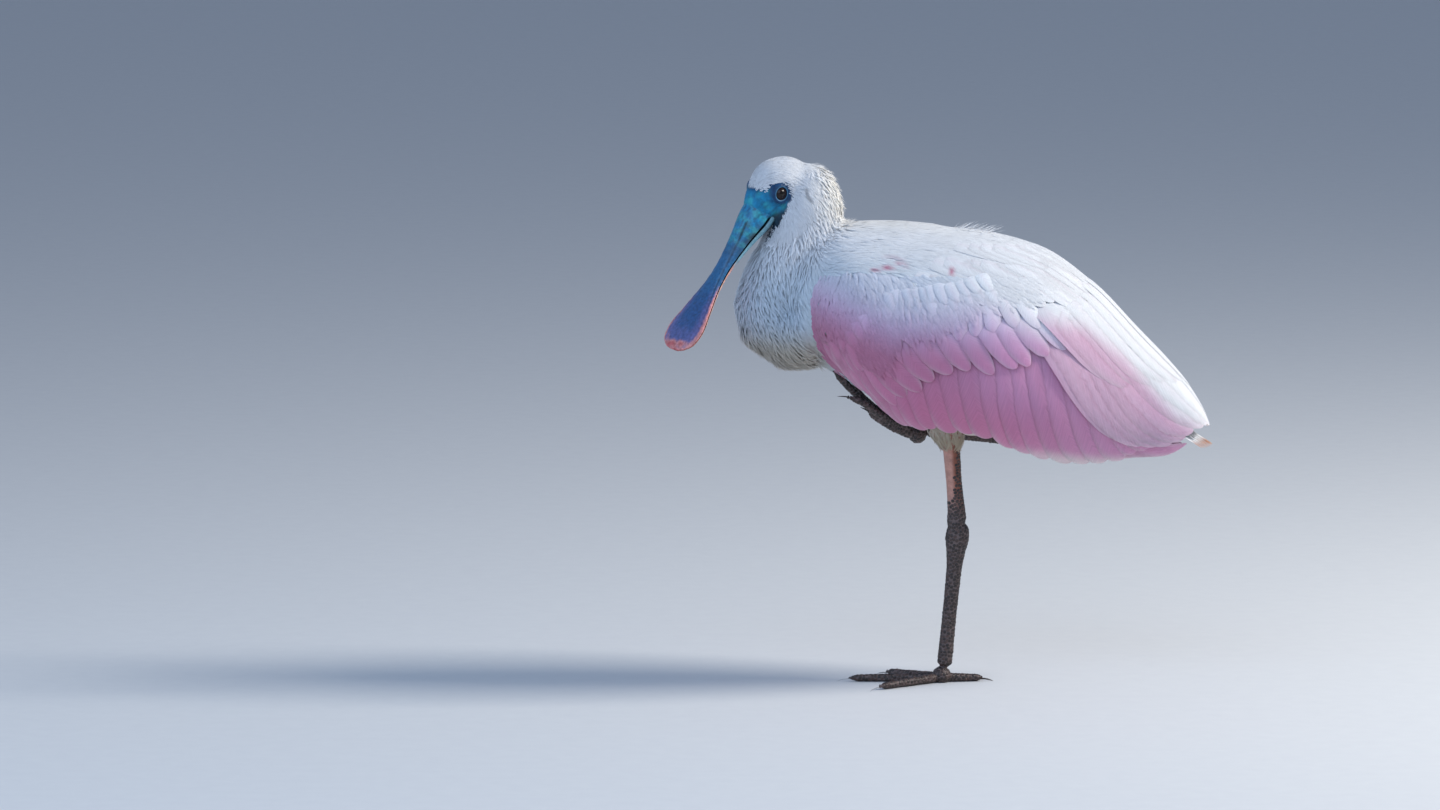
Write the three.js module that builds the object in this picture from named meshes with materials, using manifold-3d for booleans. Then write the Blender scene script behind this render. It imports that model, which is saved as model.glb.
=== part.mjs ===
// An immature roseate spoonbill at life size, resting on its left leg with the right leg drawn up under
// the belly, the neck folded and the head turned a little to its left.
// Millimetres, +Z up. The bird faces -X and its left side is -Y. The origin is on the floor, under the
// joint of the standing foot.
import * as THREE from "three";
import { mergeVertices } from "three/addons/utils/BufferGeometryUtils.js";
import Module from "manifold-3d";

const wasm = await Module();
wasm.setup();

// The clearance kept between neighbouring pieces.
const GAP = 0.3;

// The standing leg: joint heights, and how far the leg leans inwards to bring the foot under the body.
const HEEL = new THREE.Vector3(15, -13, 130);
const THIGH_END = new THREE.Vector3(9, -22, 207);
const TARSUS_FOOT = new THREE.Vector3(4, 0, 11);
const TOE_LENGTHS = { inner: 62, middle: 80, outer: 72, hind: 37 };
const TOE_ANGLES = { inner: 41, middle: 2, outer: -41, hind: 172 };
const TOE_RADIUS = 4.4;
const TOE_ROOT = new THREE.Vector3(1, 0, 4.2);
// How high a standing toe's tip and its claw's root are over the floor.
const TOE_TIP_HEIGHT = 3;
const CLAW_HEIGHT = 2.2;
const CLAW_LENGTH = 9;
const CLAW_RADIUS = 2.1;
const CLAW_BEND = 0.22;
// How far the webs between the toes reach from the foot's joint, how high they lie and how thick they are.
const PALM_RADIUS = 29;
const WEB_HEIGHT = 2.6;
const WEB_THICKNESS = 1.6;
// The pad under the joint of the toes: its radius and middle, on the standing and on the raised foot.
const STANDING_PAD = { radius: 8.2, at: [2, 0, 5.6] };
const RAISED_PAD = { radius: 8, at: [-19, 4, 212.5] };
// The tarsus from the heel to the toes: [way along, half depth, half width].
const TARSUS = [
  [-0.08, 3, 3],
  [-0.05, 8.5, 6.2],
  [0.03, 10.3, 7.2],
  [0.12, 8.4, 6],
  [0.25, 6.6, 4.7],
  [0.6, 6, 4.2],
  [0.9, 6.4, 5],
  [1, 6, 5.4],
];
// The upper parts of the legs: [x, y, z, half depth, half width] from the body down.
const THIGH_LEFT = [
  [-2, -34, 262, 16, 9],
  [0, -32, 248, 23, 14],
  [4, -28, 228, 19, 13.5],
  [8, -24, 212, 12, 11],
  [9.2, -22, 203.5, 8.4, 7.2],
  [9.4, -21.8, 201.5, 4, 4],
];
const TIBIA_LEFT = [
  [THIGH_END.x - 1, THIGH_END.y - 1, THIGH_END.z + 14, 6.5, 5.6],
  [THIGH_END.x, THIGH_END.y, THIGH_END.z, 7.4, 6],
  [11.5, -18.5, 175, 6.7, 5.2],
  [14, -15, 148, 7.6, 5.8],
  [15, -13.4, 136, 8.2, 6],
];
const TIBIA_RIGHT = [
  [66, 30, 238, 10, 9],
  [76, 27, 229, 12, 10],
  [90, 22, 216, 8, 7],
  [100, 18.5, 207, 7, 6],
  [103, 17.5, 204, 4, 4],
];

// The drawn-up right leg: the tarsus lies along the belly with the heel behind, and the toes rest
// against the breast. Each claw curves the way that RAISED_CLAWS gives.
const KNUCKLE = new THREE.Vector3(-14, 6, 216.5);
const HEEL_UP = new THREE.Vector3(102, 17, 204);
const RAISED_TOES = {
  middle: [[-20, 4, 213], [-50, -3, 230], [-76, -12, 253], [-93, -18, 273]],
  outer: [[-20, 5, 213], [-50, 8, 230], [-68, 6, 246], [-80, 0, 264]],
  inner: [[-20, 2, 213], [-46, -12, 228], [-70, -21, 245], [-80, -24, 248]],
  hind: [[-20, 3, 212], [-34, -6, 217], [-50, -10, 226], [-62, -14, 235]],
};
const RAISED_CLAWS = {
  middle: new THREE.Vector3(-0.55, 0, -0.83),
  outer: new THREE.Vector3(-0.83, 0, -0.55),
  inner: new THREE.Vector3(0.1, 0, -1),
  hind: new THREE.Vector3(0.3, 0, -1),
};

// The head: the point midway between the eyes, and the head's turn from a level, forward look.
const HEAD_AT = new THREE.Vector3(-146, -8, 422);
const HEAD_PITCH = 54.5;
const HEAD_YAW = 28;
const HEAD_ROLL = 8;
const EYE_RADIUS = 6.6;
const EYE_OUT = 15.6;
const EYE_UP = 1;
// The ring of the lids, and how far out it stands.
const LID_RADIUS = 6.1;
const LID_THICKNESS = 1.3;
const LID_OUT = 19.6;
// The slit of a nostril, on the left and the right of the bill's base.
const NOSTRIL = { x: -35, y: 5, z: 9.5, length: 12, radius: 1.2, slope: 10 };

// Lengthwise stations of the body forms: [x, top, bottom, half width].
const TORSO = [
  [-132, 335, 335, 0],
  [-118, 376, 284, 36],
  [-95, 392, 269, 51],
  [-55, 396, 243, 61],
  [-5, 393, 217, 69],
  [45, 378, 211, 67],
  [90, 346, 214, 51],
  [122, 306, 228, 32],
  [142, 274, 248, 14],
  [148, 261, 261, 0],
];
const FOLDED_WINGS = [
  [-109, 318, 318, 0],
  [-106, 356, 291, 46],
  [-100, 370, 282, 57],
  [-88, 381, 268, 66],
  [-70, 386, 251, 75],
  [-35, 389, 219, 82],
  [0, 390, 202, 85],
  [45, 385, 194, 84],
  [90, 371, 184, 76],
  [130, 342, 180, 60],
  [165, 306, 184, 44],
  [195, 275, 191, 32],
  [217, 247, 204, 20],
  [229, 222, 214, 0],
];
// How deep under the outer plumage the wings' smooth inner form lies, and where it ends behind and
// below: the points [x, z] that its lower edge runs through.
const PLUMAGE = 8;
const WING_CORE_END = 152;
const WING_CORE_EDGE = [
  [-130, 318],
  [-80, 284],
  [-30, 254],
  [30, 236],
  [90, 226],
  [170, 232],
];
// The rows of feathers on each wing, from the lowest up. root and tip are curves that the feathers'
// ends are spread along, from front to back, as [x, degrees down from the top of the back]. width is
// half a feather's width, and lift its height over the plumage's outer surface. Short feathers have
// the blunter outline of a covert.
const WING_FEATHERS = {
  primaries: {
    count: 7,
    width: 8,
    lift: -9.5,
    root: [[52, 117], [94, 104], [134, 92]],
    tip: [[121, 146], [160, 142], [194, 146], [219, 146]],
  },
  secondaries: {
    count: 11,
    width: 10,
    lift: -2.5,
    root: [[-54, 110], [5, 93], [48, 87], [86, 77], [108, 66]],
    tip: [[-26, 132], [9, 135], [51, 142], [88, 145], [126, 142]],
  },
  primaryCoverts: {
    count: 4,
    width: 7.5,
    lift: -3.5,
    short: true,
    root: [[-97, 117], [-84, 111], [-72, 105]],
    tip: [[-30, 151], [-47, 140], [-46, 125]],
  },
  greaterCoverts: {
    count: 9,
    width: 10.5,
    lift: -0.5,
    root: [[-74, 93], [-20, 79], [30, 71], [86, 61]],
    tip: [[-44, 121], [8, 104], [51, 98], [90, 87], [112, 76]],
  },
  medianCoverts: {
    count: 8,
    width: 11,
    lift: 0.6,
    short: true,
    root: [[-88, 79], [-42, 64], [12, 56], [64, 52]],
    tip: [[-64, 101], [-17, 86], [30, 80], [88, 70]],
  },
  lesserCoverts: {
    count: 6,
    width: 9.5,
    lift: 1.8,
    short: true,
    root: [[-98, 60], [-42, 50], [10, 48]],
    tip: [[-86, 88], [-38, 72], [14, 66]],
  },
  tertials: {
    count: 6,
    width: 11,
    lift: -1.4,
    root: [[112, 70], [112, 46], [104, 16]],
    tip: [[176, 92], [207, 104], [224, 84], [212, 22]],
  },
  scapulars: {
    count: 7,
    width: 12,
    lift: 2.4,
    short: true,
    root: [[-26, 40], [22, 28], [70, 12]],
    tip: [[14, 56], [68, 54], [112, 42], [142, 10]],
  },
};
// The tail: twelve feathers from its root to the tips of the middle pair.
const TAIL_ROOT = new THREE.Vector3(146, 0, 258);
const TAIL_TIP = new THREE.Vector3(232, 0, 205);
const TAIL_FEATHERS = 12;
const TAIL_SPREAD = 9;
// How much lower each tail feather lies than the one on its inner side.
const TAIL_STEP = 1.15;
const TAIL_WIDTH = 6;
// The fleshy stump that carries the tail feathers: its half sizes, and how far it lies behind their
// root and below it.
const TAIL_STUMP = { size: [22, 9, 7], behind: 8, below: 5.5 };
// A vane's outline from root to tip as [along, width], and the places of its six edges: over its left
// side, shaft and right side and back under them, as [across, up].
const LONG_VANE = [[0, 0], [0.25, 0.8], [0.6, 1], [0.9, 0.78], [1, 0]];
const SHORT_VANE = [[0, 0], [0.4, 0.95], [0.85, 0.8], [1, 0]];
const VANE_EDGES = [[-1, 1], [0, 1], [1, 1], [1, -1], [0, -1], [-1, -1]];
// Half the thickness of a vane at its shaft and at its edges.
const SHAFT_HALF = 0.55;
const EDGE_HALF = 0.28;
// How much of a feather's length it takes to rise to its full height, and how deep its root sits in
// the inner form.
const ROOT_PART = 0.4;
const ROOT_DEPTH = 2.5;

// Stations of the head and bill, in the head's own frame with the bill along -x.
const HEAD = [
  [-29, 2, 2, 0],
  [-23, 11, -11, 13],
  [-10, 15.5, -20, 18],
  [3, 18.5, -26, 21.5],
  [16, 17, -30, 24],
  [28, 8, -27, 20],
  [37, -9, -9, 0],
];
const BILL_UPPER = [
  [-8, 12, -7, 13],
  [-26, 11, -6.5, 14],
  [-45, 7.5, -4.5, 11.5],
  [-65, 4.5, -3.2, 9.2],
  [-82, 3, -2.6, 8.8],
  [-100, 2.2, -2.3, 12],
  [-120, 1.6, -2.3, 18.5],
  [-138, 1.2, -2.3, 23.8],
  [-150, 0.8, -2.3, 21.5],
  [-157, 0, -2.2, 13],
  [-159.5, -1.2, -1.2, 0],
];
const BILL_LOWER = [
  [-12, -7.6, -20, 11.5],
  [-26, -7.1, -18, 12.5],
  [-45, -5.1, -13, 10],
  [-65, -3.8, -9.5, 8.2],
  [-82, -3.2, -7.5, 8],
  [-100, -2.9, -6.3, 11.3],
  [-120, -2.9, -5.8, 17.8],
  [-138, -2.9, -5.6, 23],
  [-150, -2.9, -5.4, 20.8],
  [-156.5, -2.9, -5, 12.5],
  [-158.7, -3.9, -3.9, 0],
];
// The folded neck: [x, y, z, half depth, half width] along its bend, from the head to the breast.
const NECK = [
  [-116, -3, 434, 3, 3],
  [-114, -3, 431, 15, 14],
  [-112, -3, 422, 25, 22],
  [-112, -3, 410, 29.5, 25],
  [-115, -2, 395, 30, 26],
  [-124, -1, 372, 29, 26],
  [-138, 0, 345, 29, 27],
  [-146, 0, 321, 29, 29],
  [-139, 0, 302, 29, 32],
  [-119, 0, 299, 30, 38],
  [-94, 0, 305, 30, 40],
];

const SIDES = [
  ["left", -1],
  ["right", 1],
];
const DOWN = new THREE.Vector3(0, 0, -1);
const ACROSS = new THREE.Vector3(0, 1, 0);
const radians = THREE.MathUtils.degToRad;
const random = (spread) => THREE.MathUtils.seededRandom() * 2 * spread - spread;

// A smooth curve through the points [x, value], as a function of x.
function through(points) {
  const last = points.length - 1;
  const slope = (i) => {
    const before = points[Math.max(i - 1, 0)];
    const after = points[Math.min(i + 1, last)];
    return (after[1] - before[1]) / (after[0] - before[0]);
  };
  return (x) => {
    const found = points.findIndex(([px]) => px > x);
    const i = found < 0 ? last - 1 : Math.max(found - 1, 0);
    const [x0, v0] = points[i];
    const [x1, v1] = points[i + 1];
    const span = x1 - x0;
    const t = THREE.MathUtils.clamp((x - x0) / span, 0, 1);
    const rise = (3 - 2 * t) * t * t;
    return v0 + (v1 - v0) * rise + span * t * (1 - t) * (slope(i) * (1 - t) - slope(i + 1) * t);
  };
}

// Upright sections along x, from rows [x, top, bottom, half width]. Squared sizes are what the curves
// join, so that a body closes in a round end. waist is how high up the section its widest level is.
function sections(rows, { power = 2.1, waist = 0.5 } = {}) {
  const ordered = [...rows].sort((a, b) => a[0] - b[0]);
  const column = (value) => through(ordered.map((row) => [row[0], value(row)]));
  const bottomOf = ([, top, bottom]) => bottom + (top - bottom) * waist;
  const middle = column(bottomOf);
  const height2 = column(([, top, bottom]) => (top - bottom) ** 2);
  const width2 = column((row) => row[3] ** 2);
  return {
    from: ordered[0][0],
    to: ordered[ordered.length - 1][0],
    power,
    at(x) {
      const height = Math.sqrt(Math.max(height2(x), 0));
      return {
        middle: middle(x),
        up: height * (1 - waist),
        down: height * waist,
        width: Math.sqrt(Math.max(width2(x), 0)),
      };
    },
  };
}

// A point on the surface of sections, at x and at an angle round it: 0 is the top, 90 the left side.
function onSection(body, x, angle) {
  const { middle, up, down, width } = body.at(x);
  const bend = (value) => Math.sign(value) * Math.abs(value) ** (2 / body.power);
  const rise = bend(Math.cos(angle));
  return new THREE.Vector3(x, -width * bend(Math.sin(angle)), middle + (rise > 0 ? up : down) * rise);
}

// The direction out of sections at x and an angle round them.
function outOfSection(body, x, angle) {
  const step = 0.02;
  const ahead = onSection(body, x + 1, angle).sub(onSection(body, x - 1, angle));
  const round = onSection(body, x, angle + step).sub(onSection(body, x, angle - step));
  return round.cross(ahead).normalize();
}

// The point at t of a smooth curve through pairs of values.
const curvePoint = (points, t) =>
  new THREE.SplineCurve(points.map(([a, b]) => new THREE.Vector2(a, b))).getPoint(t);

// A closed geometry shaped from a sphere's grid: place gives each point from its turn and its way
// along, both from 0 to 1.
function shaped(rings, sides, place) {
  const geometry = new THREE.SphereGeometry(1, sides, rings);
  const grid = geometry.attributes.uv;
  const position = geometry.attributes.position;
  for (let i = 0; i < position.count; i++) {
    const along = 1 - grid.getY(i);
    const pole = along < 1e-6 || along > 1 - 1e-6;
    const point = place(pole ? 0 : grid.getX(i) % 1, along);
    position.setXYZ(i, point.x, point.y, point.z);
  }
  return geometry;
}

// A feather as a closed vane. line gives, for a way along it from 0 to 1, its point, the direction
// ahead and the direction out of the plumage. lift is its height over that line, and rootLift its
// height at the root. roll raises one side over the neighbouring feather, and camber lowers both
// sides. Both faces are split into triangles alike.
function vane(line, { short, width, lift, rootLift, roll = 0.28, camber = 0.5 }) {
  const outline = short ? SHORT_VANE : LONG_VANE;
  const rings = outline.length - 1;
  const sides = VANE_EDGES.length;
  const geometry = shaped(rings, sides, (turn, along) => {
    const [t, wide] = outline[Math.round(along * rings)];
    const [across, face] = VANE_EDGES[Math.round(turn * sides)];
    const { point, ahead, out } = line(t);
    const right = new THREE.Vector3().crossVectors(ahead, out).normalize();
    const up = new THREE.Vector3().crossVectors(right, ahead).normalize();
    const side = across * wide;
    const emerged = THREE.MathUtils.smoothstep(t, 0, ROOT_PART);
    const height = THREE.MathUtils.lerp(rootLift, lift, emerged) + side * width * roll - side * side * camber;
    const thick = across ? EDGE_HALF : SHAFT_HALF * (1 - 0.4 * t);
    return point.addScaledVector(right, side * width).addScaledVector(up, height + face * thick);
  });
  const index = geometry.index;
  for (let ring = 1; ring < rings - 1; ring++) {
    for (const edge of [3, 4]) {
      const at = (sides + (ring - 1) * sides * 2 + edge * 2) * 3;
      const [a, b, d, , c] = [0, 1, 2, 3, 4].map((i) => index.getX(at + i));
      [a, b, c, a, c, d].forEach((corner, i) => index.setX(at + i, corner));
    }
  }
  return geometry;
}

// A closed body over upright sections.
function bodyOf(body, rings, sides) {
  return shaped(rings, sides, (turn, along) => {
    const x = body.from + ((body.to - body.from) * (1 - Math.cos(Math.PI * along))) / 2;
    if (along === 0 || along === 1) {
      return new THREE.Vector3(x, 0, body.at(x).middle);
    }
    return onSection(body, x, turn * 2 * Math.PI);
  });
}

// A closed tube of oval sections square to its path, from rows [x, y, z, half depth, half width].
function limb(rows, rings, sides, across = ACROSS) {
  const path = new THREE.CatmullRomCurve3(rows.map(([x, y, z]) => new THREE.Vector3(x, y, z)));
  const sizes = new THREE.CatmullRomCurve3(
    rows.map(([, , , depth, width]) => new THREE.Vector3(depth ** 2, width ** 2, 0)),
  );
  return shaped(rings, sides, (turn, along) => {
    const centre = path.getPoint(along);
    if (along < 1e-6 || along > 1 - 1e-6) {
      return centre;
    }
    const tangent = path.getTangent(along);
    const deep = new THREE.Vector3().crossVectors(across, tangent).normalize();
    const wide = new THREE.Vector3().crossVectors(tangent, deep).normalize();
    const size = sizes.getPoint(along);
    const angle = turn * 2 * Math.PI;
    return centre
      .addScaledVector(deep, Math.sqrt(Math.max(size.x, 0)) * Math.cos(angle))
      .addScaledVector(wide, Math.sqrt(Math.max(size.y, 0)) * Math.sin(angle));
  });
}

// A closed geometry as a solid, swollen along its normals by grow.
function solid(geometry, grow = 0) {
  const bare = geometry.clone();
  bare.deleteAttribute("normal");
  bare.deleteAttribute("uv");
  const merged = mergeVertices(bare, 1e-4);
  const volume = (index, p) => {
    let sum = 0;
    const [a, b, c] = [new THREE.Vector3(), new THREE.Vector3(), new THREE.Vector3()];
    for (let i = 0; i < index.length; i += 3) {
      a.fromBufferAttribute(p, index[i]);
      b.fromBufferAttribute(p, index[i + 1]);
      c.fromBufferAttribute(p, index[i + 2]);
      sum += a.dot(b.cross(c));
    }
    return sum;
  };
  const index = merged.index.array;
  if (volume(index, merged.attributes.position) < 0) {
    for (let i = 0; i < index.length; i += 3) {
      [index[i], index[i + 1]] = [index[i + 1], index[i]];
    }
  }
  if (grow) {
    merged.computeVertexNormals();
    const { position, normal } = merged.attributes;
    for (let i = 0; i < position.array.length; i++) {
      position.array[i] += normal.array[i] * grow;
    }
  }
  return new wasm.Manifold(
    new wasm.Mesh({
      numProp: 3,
      vertProperties: new Float32Array(merged.attributes.position.array),
      triVerts: new Uint32Array(index),
    }),
  );
}

// The union of closed geometries.
function fuse(geometries, grow = 0) {
  return wasm.Manifold.union(geometries.map((geometry) => solid(geometry, grow)));
}

// A solid less others.
function less(body, ...cutters) {
  return cutters.reduce((rest, cutter) => rest.subtract(cutter), body);
}

// The largest closed surface of a solid.
function largest(body) {
  const pieces = body.decompose().filter((piece) => piece.volume() > 0);
  return pieces.reduce((best, piece) => (piece.volume() > best.volume() ? piece : best));
}

const spoonbill = new THREE.Group();

const FEATHER_WHITE = { color: 0xe9edf2, roughness: 0.8, metalness: 0 };
const FEATHER_PINK = { color: 0xe6b7d2, roughness: 0.75, metalness: 0 };
const FEATHER_TAWNY = { color: 0xb97a4c, roughness: 0.8, metalness: 0 };
const BILL_BLUE = { color: 0x3f87a6, roughness: 0.45, metalness: 0 };
const EYE_DARK = { color: 0x140b0a, roughness: 0.08, metalness: 0 };
const LEG_DARK = { color: 0x2b211d, roughness: 0.6, metalness: 0 };
const SKIN_PINK = { color: 0xb98379, roughness: 0.6, metalness: 0 };
const CLAW_BLACK = { color: 0x100d0c, roughness: 0.4, metalness: 0 };

// Adds a solid to the bird as a named mesh.
function add(name, body, finish) {
  const mesh = largest(body).getMesh();
  const geometry = new THREE.BufferGeometry();
  geometry.setAttribute("position", new THREE.BufferAttribute(mesh.vertProperties, 3));
  geometry.setIndex(new THREE.BufferAttribute(mesh.triVerts, 1));
  geometry.computeVertexNormals();
  const piece = new THREE.Mesh(geometry, new THREE.MeshStandardMaterial(finish));
  piece.name = name;
  spoonbill.add(piece);
}

// Head and bill, made level and then turned into the pose.
const headPose = new THREE.Matrix4()
  .makeRotationFromEuler(
    new THREE.Euler(radians(HEAD_ROLL), radians(-HEAD_PITCH), radians(HEAD_YAW), "ZYX"),
  )
  .setPosition(HEAD_AT);
const posed = (geometry) => geometry.applyMatrix4(headPose);
const skull = posed(bodyOf(sections(HEAD), 12, 16));
const eyeball = (side) =>
  posed(new THREE.SphereGeometry(EYE_RADIUS, 12, 8).translate(0, side * EYE_OUT, EYE_UP));
const lidRing = (side) =>
  posed(
    new THREE.TorusGeometry(LID_RADIUS, LID_THICKNESS, 5, 12)
      .rotateX(Math.PI / 2)
      .translate(0, side * LID_OUT, EYE_UP),
  );
const eyes = SIDES.map(([, side]) => eyeball(side));
const head = less(fuse([skull, ...SIDES.map(([, side]) => lidRing(side))]), fuse(eyes, GAP));
const upperBill = posed(bodyOf(sections(BILL_UPPER, { waist: 0.25 }), 20, 14));
const lowerBill = posed(bodyOf(sections(BILL_LOWER, { waist: 0.75 }), 18, 14));
const nostrils = [-1, 1].map((side) =>
  posed(
    new THREE.CapsuleGeometry(NOSTRIL.radius, NOSTRIL.length, 3, 8)
      .scale(1, 1, 2)
      .rotateZ(Math.PI / 2)
      .rotateY(radians(NOSTRIL.slope))
      .translate(NOSTRIL.x, side * NOSTRIL.y, NOSTRIL.z),
  ),
);
const headRoom = fuse([skull], GAP);
add("head", head, FEATHER_WHITE);
SIDES.forEach(([name], i) => add(`eye_${name}`, solid(eyes[i]), EYE_DARK));
add("bill_upper", less(solid(upperBill), headRoom, fuse(nostrils)), BILL_BLUE);
add("bill_lower", less(solid(lowerBill), headRoom, solid(upperBill, GAP)), BILL_BLUE);

// A toe along its bend, with its joints as slight swellings.
function toe(bend) {
  const path = new THREE.CatmullRomCurve3(bend);
  const rows = [0, 0.18, 0.34, 0.5, 0.66, 0.82, 1].map((along, i) => {
    const size = TOE_RADIUS * (1 - 0.3 * along) * (i % 2 ? 1 : 0.9) * (along === 1 ? 0.45 : 1);
    return [...path.getPointAt(along), size, size];
  });
  const ahead = bend[bend.length - 1].clone().sub(bend[0]);
  return limb(rows, 9, 6, new THREE.Vector3(0, 0, 1).cross(ahead).normalize());
}

// A claw that goes on from a toe's tip and curves towards its sole.
function claw(root, tip, down) {
  const ahead = tip.clone().sub(root).normalize();
  const rows = [-0.25, 0.2, 0.6, 1].map((along) => {
    const at = tip
      .clone()
      .addScaledVector(ahead, CLAW_LENGTH * along)
      .addScaledVector(down, CLAW_LENGTH * CLAW_BEND * Math.max(along, 0) ** 2);
    const size = CLAW_RADIUS * (1 - 0.85 * Math.max(along, 0));
    return [at.x, at.y, at.z, size, size * 0.8];
  });
  return limb(rows, 4, 5, down.clone().cross(ahead).normalize());
}

// The skin between the roots of two standing toes, as far as reach.
function web(tipA, tipB, reach) {
  const root = TOE_ROOT.clone().setZ(WEB_HEIGHT);
  const a = tipA.clone().sub(root).normalize();
  const b = tipB.clone().sub(root).normalize();
  const up = a.clone().cross(b).normalize();
  const edge = new THREE.Shape();
  edge.moveTo(-3, 0);
  edge.lineTo(reach, 0);
  const angle = a.angleTo(b);
  const end = new THREE.Vector2(Math.cos(angle), Math.sin(angle)).multiplyScalar(reach);
  const hollow = new THREE.Vector2(Math.cos(angle / 2), Math.sin(angle / 2)).multiplyScalar(reach * 0.5);
  edge.quadraticCurveTo(hollow.x, hollow.y, end.x, end.y);
  edge.closePath();
  const sheet = new THREE.ExtrudeGeometry(edge, {
    depth: WEB_THICKNESS,
    bevelEnabled: false,
    curveSegments: 5,
  }).translate(0, 0, -WEB_THICKNESS / 2);
  const frame = new THREE.Matrix4().makeBasis(a, up.clone().cross(a), up).setPosition(root);
  return sheet.applyMatrix4(frame);
}

// The standing left leg.
const floorCut = new THREE.BoxGeometry(400, 400, 40).translate(0, 0, -20);
const standingTips = Object.fromEntries(
  Object.entries(TOE_ANGLES).map(([name, angle]) => [
    name,
    new THREE.Vector3(-Math.cos(radians(angle)), Math.sin(radians(angle)), 0)
      .multiplyScalar(TOE_LENGTHS[name])
      .add(TOE_ROOT.clone().setZ(TOE_TIP_HEIGHT)),
  ]),
);
const standingToes = Object.entries(standingTips).map(([name, tip]) => [name, toe([TOE_ROOT, tip])]);
const standingWebs = [
  web(standingTips.inner, standingTips.middle, PALM_RADIUS),
  web(standingTips.outer, standingTips.middle, PALM_RADIUS),
];
const padOf = ({ radius, at }) => new THREE.SphereGeometry(radius, 10, 8).translate(...at);
const standingPad = padOf(STANDING_PAD);
const foot = less(
  fuse([...standingToes.map(([, geometry]) => geometry), ...standingWebs, standingPad]),
  solid(floorCut),
);
// A tarsus from a heel to the joint of the toes.
function tarsus(heel, end) {
  const rows = TARSUS.map(([along, ...size]) => [...heel.clone().lerp(end, along), ...size]);
  return limb(rows, 14, 10);
}

const tarsusLeft = tarsus(HEEL, TARSUS_FOOT);
const tibiaLeft = limb(TIBIA_LEFT, 8, 12);
const thighLeft = limb(THIGH_LEFT, 10, 12);
const standingClaws = Object.entries(standingTips).map(([name, tip]) => [
  name,
  claw(TOE_ROOT, tip.clone().setZ(CLAW_HEIGHT), DOWN),
]);
const palm = new THREE.SphereGeometry(PALM_RADIUS, 16, 12).translate(TOE_ROOT.x, TOE_ROOT.y, 0);
add("foot_left", foot.intersect(solid(palm)), LEG_DARK);
standingToes.forEach(([name, geometry]) =>
  add(`toe_left_${name}`, less(solid(geometry), solid(palm, GAP), solid(floorCut)), LEG_DARK),
);
const footRoom = fuse([...standingToes.map(([, geometry]) => geometry), standingPad], GAP);
standingClaws.forEach(([name, geometry]) =>
  add(`claw_left_${name}`, less(solid(geometry), footRoom, solid(floorCut)), CLAW_BLACK),
);
add("tarsus_left", less(solid(tarsusLeft), footRoom), LEG_DARK);

// The drawn-up right leg.
const tarsusRight = tarsus(HEEL_UP, KNUCKLE);
const raisedBends = Object.entries(RAISED_TOES).map(([name, bend]) => [
  name,
  bend.map(([x, y, z]) => new THREE.Vector3(x, y, z)),
]);
const raisedFootPieces = [...raisedBends.map(([, bend]) => toe(bend)), padOf(RAISED_PAD)];
const raisedClaws = raisedBends.map(([name, bend]) => [
  name,
  claw(bend[2], bend[3], RAISED_CLAWS[name]),
]);
const raisedRoom = fuse(raisedFootPieces, GAP);
add("foot_right", fuse(raisedFootPieces), LEG_DARK);
raisedClaws.forEach(([name, geometry]) =>
  add(`claw_right_${name}`, less(solid(geometry), raisedRoom), CLAW_BLACK),
);
add("tarsus_right", less(solid(tarsusRight), raisedRoom), LEG_DARK);
const tibiaRight = limb(TIBIA_RIGHT, 10, 12);
const tarsusRightRoom = solid(tarsusRight, GAP);

// Torso, with the drawn-up leg pressed into its feathers.
const torsoForm = bodyOf(sections(TORSO), 15, 20);
const torsoRoom = solid(torsoForm, GAP);
const raisedClawRoom = fuse(
  raisedClaws.map(([, geometry]) => geometry),
  GAP,
);
const torso = less(solid(torsoForm), raisedRoom, raisedClawRoom, tarsusRightRoom);
add("torso", torso, FEATHER_WHITE);
add("thigh_left", less(solid(thighLeft), torsoRoom), FEATHER_WHITE);
add("tibia_left", less(solid(tibiaLeft), solid(thighLeft, GAP), solid(tarsusLeft, GAP)), SKIN_PINK);
add("tibia_right", less(solid(tibiaRight), torsoRoom, tarsusRightRoom), SKIN_PINK);

// Neck, between the head and the torso.
const neckForm = limb(NECK, 13, 14);
const lowerBillRoom = solid(lowerBill, GAP);
add("neck", less(solid(neckForm), headRoom, torsoRoom, lowerBillRoom), FEATHER_WHITE);

// The tail: feathers fanned from a short stump, the middle pair uppermost.
const tailAhead = TAIL_TIP.clone().sub(TAIL_ROOT);
const tailOut = new THREE.Vector3(-tailAhead.z, 0, tailAhead.x).normalize();
const tailFeathers = Array.from({ length: TAIL_FEATHERS }, (_, i) => {
  const side = (i - (TAIL_FEATHERS - 1) / 2) / ((TAIL_FEATHERS - 1) / 2);
  const turn = new THREE.Quaternion().setFromAxisAngle(tailOut, radians(-TAIL_SPREAD * side));
  const ahead = tailAhead.clone().applyQuaternion(turn).multiplyScalar(1 - 0.06 * side * side);
  const root = TAIL_ROOT.clone().add(new THREE.Vector3(0, side * 4, 0));
  const line = (t) => ({
    point: root.clone().addScaledVector(ahead, t),
    ahead: ahead.clone().normalize(),
    out: tailOut,
  });
  const lift = -TAIL_STEP * (Math.abs(i - (TAIL_FEATHERS - 1) / 2) + (side > 0 ? 0.5 : 0));
  return vane(line, { short: true, width: TAIL_WIDTH, lift, rootLift: lift, roll: 0, camber: 0.2 });
});
const tailStump = new THREE.SphereGeometry(1, 10, 8)
  .scale(...TAIL_STUMP.size)
  .rotateY(Math.atan2(-tailAhead.z, tailAhead.x))
  .translate(TAIL_ROOT.x + TAIL_STUMP.behind, 0, TAIL_ROOT.z - TAIL_STUMP.below);
const tailRoom = fuse([...tailFeathers, tailStump], GAP);
add("tail", less(fuse([...tailFeathers, tailStump]), torsoRoom), FEATHER_TAWNY);

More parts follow.
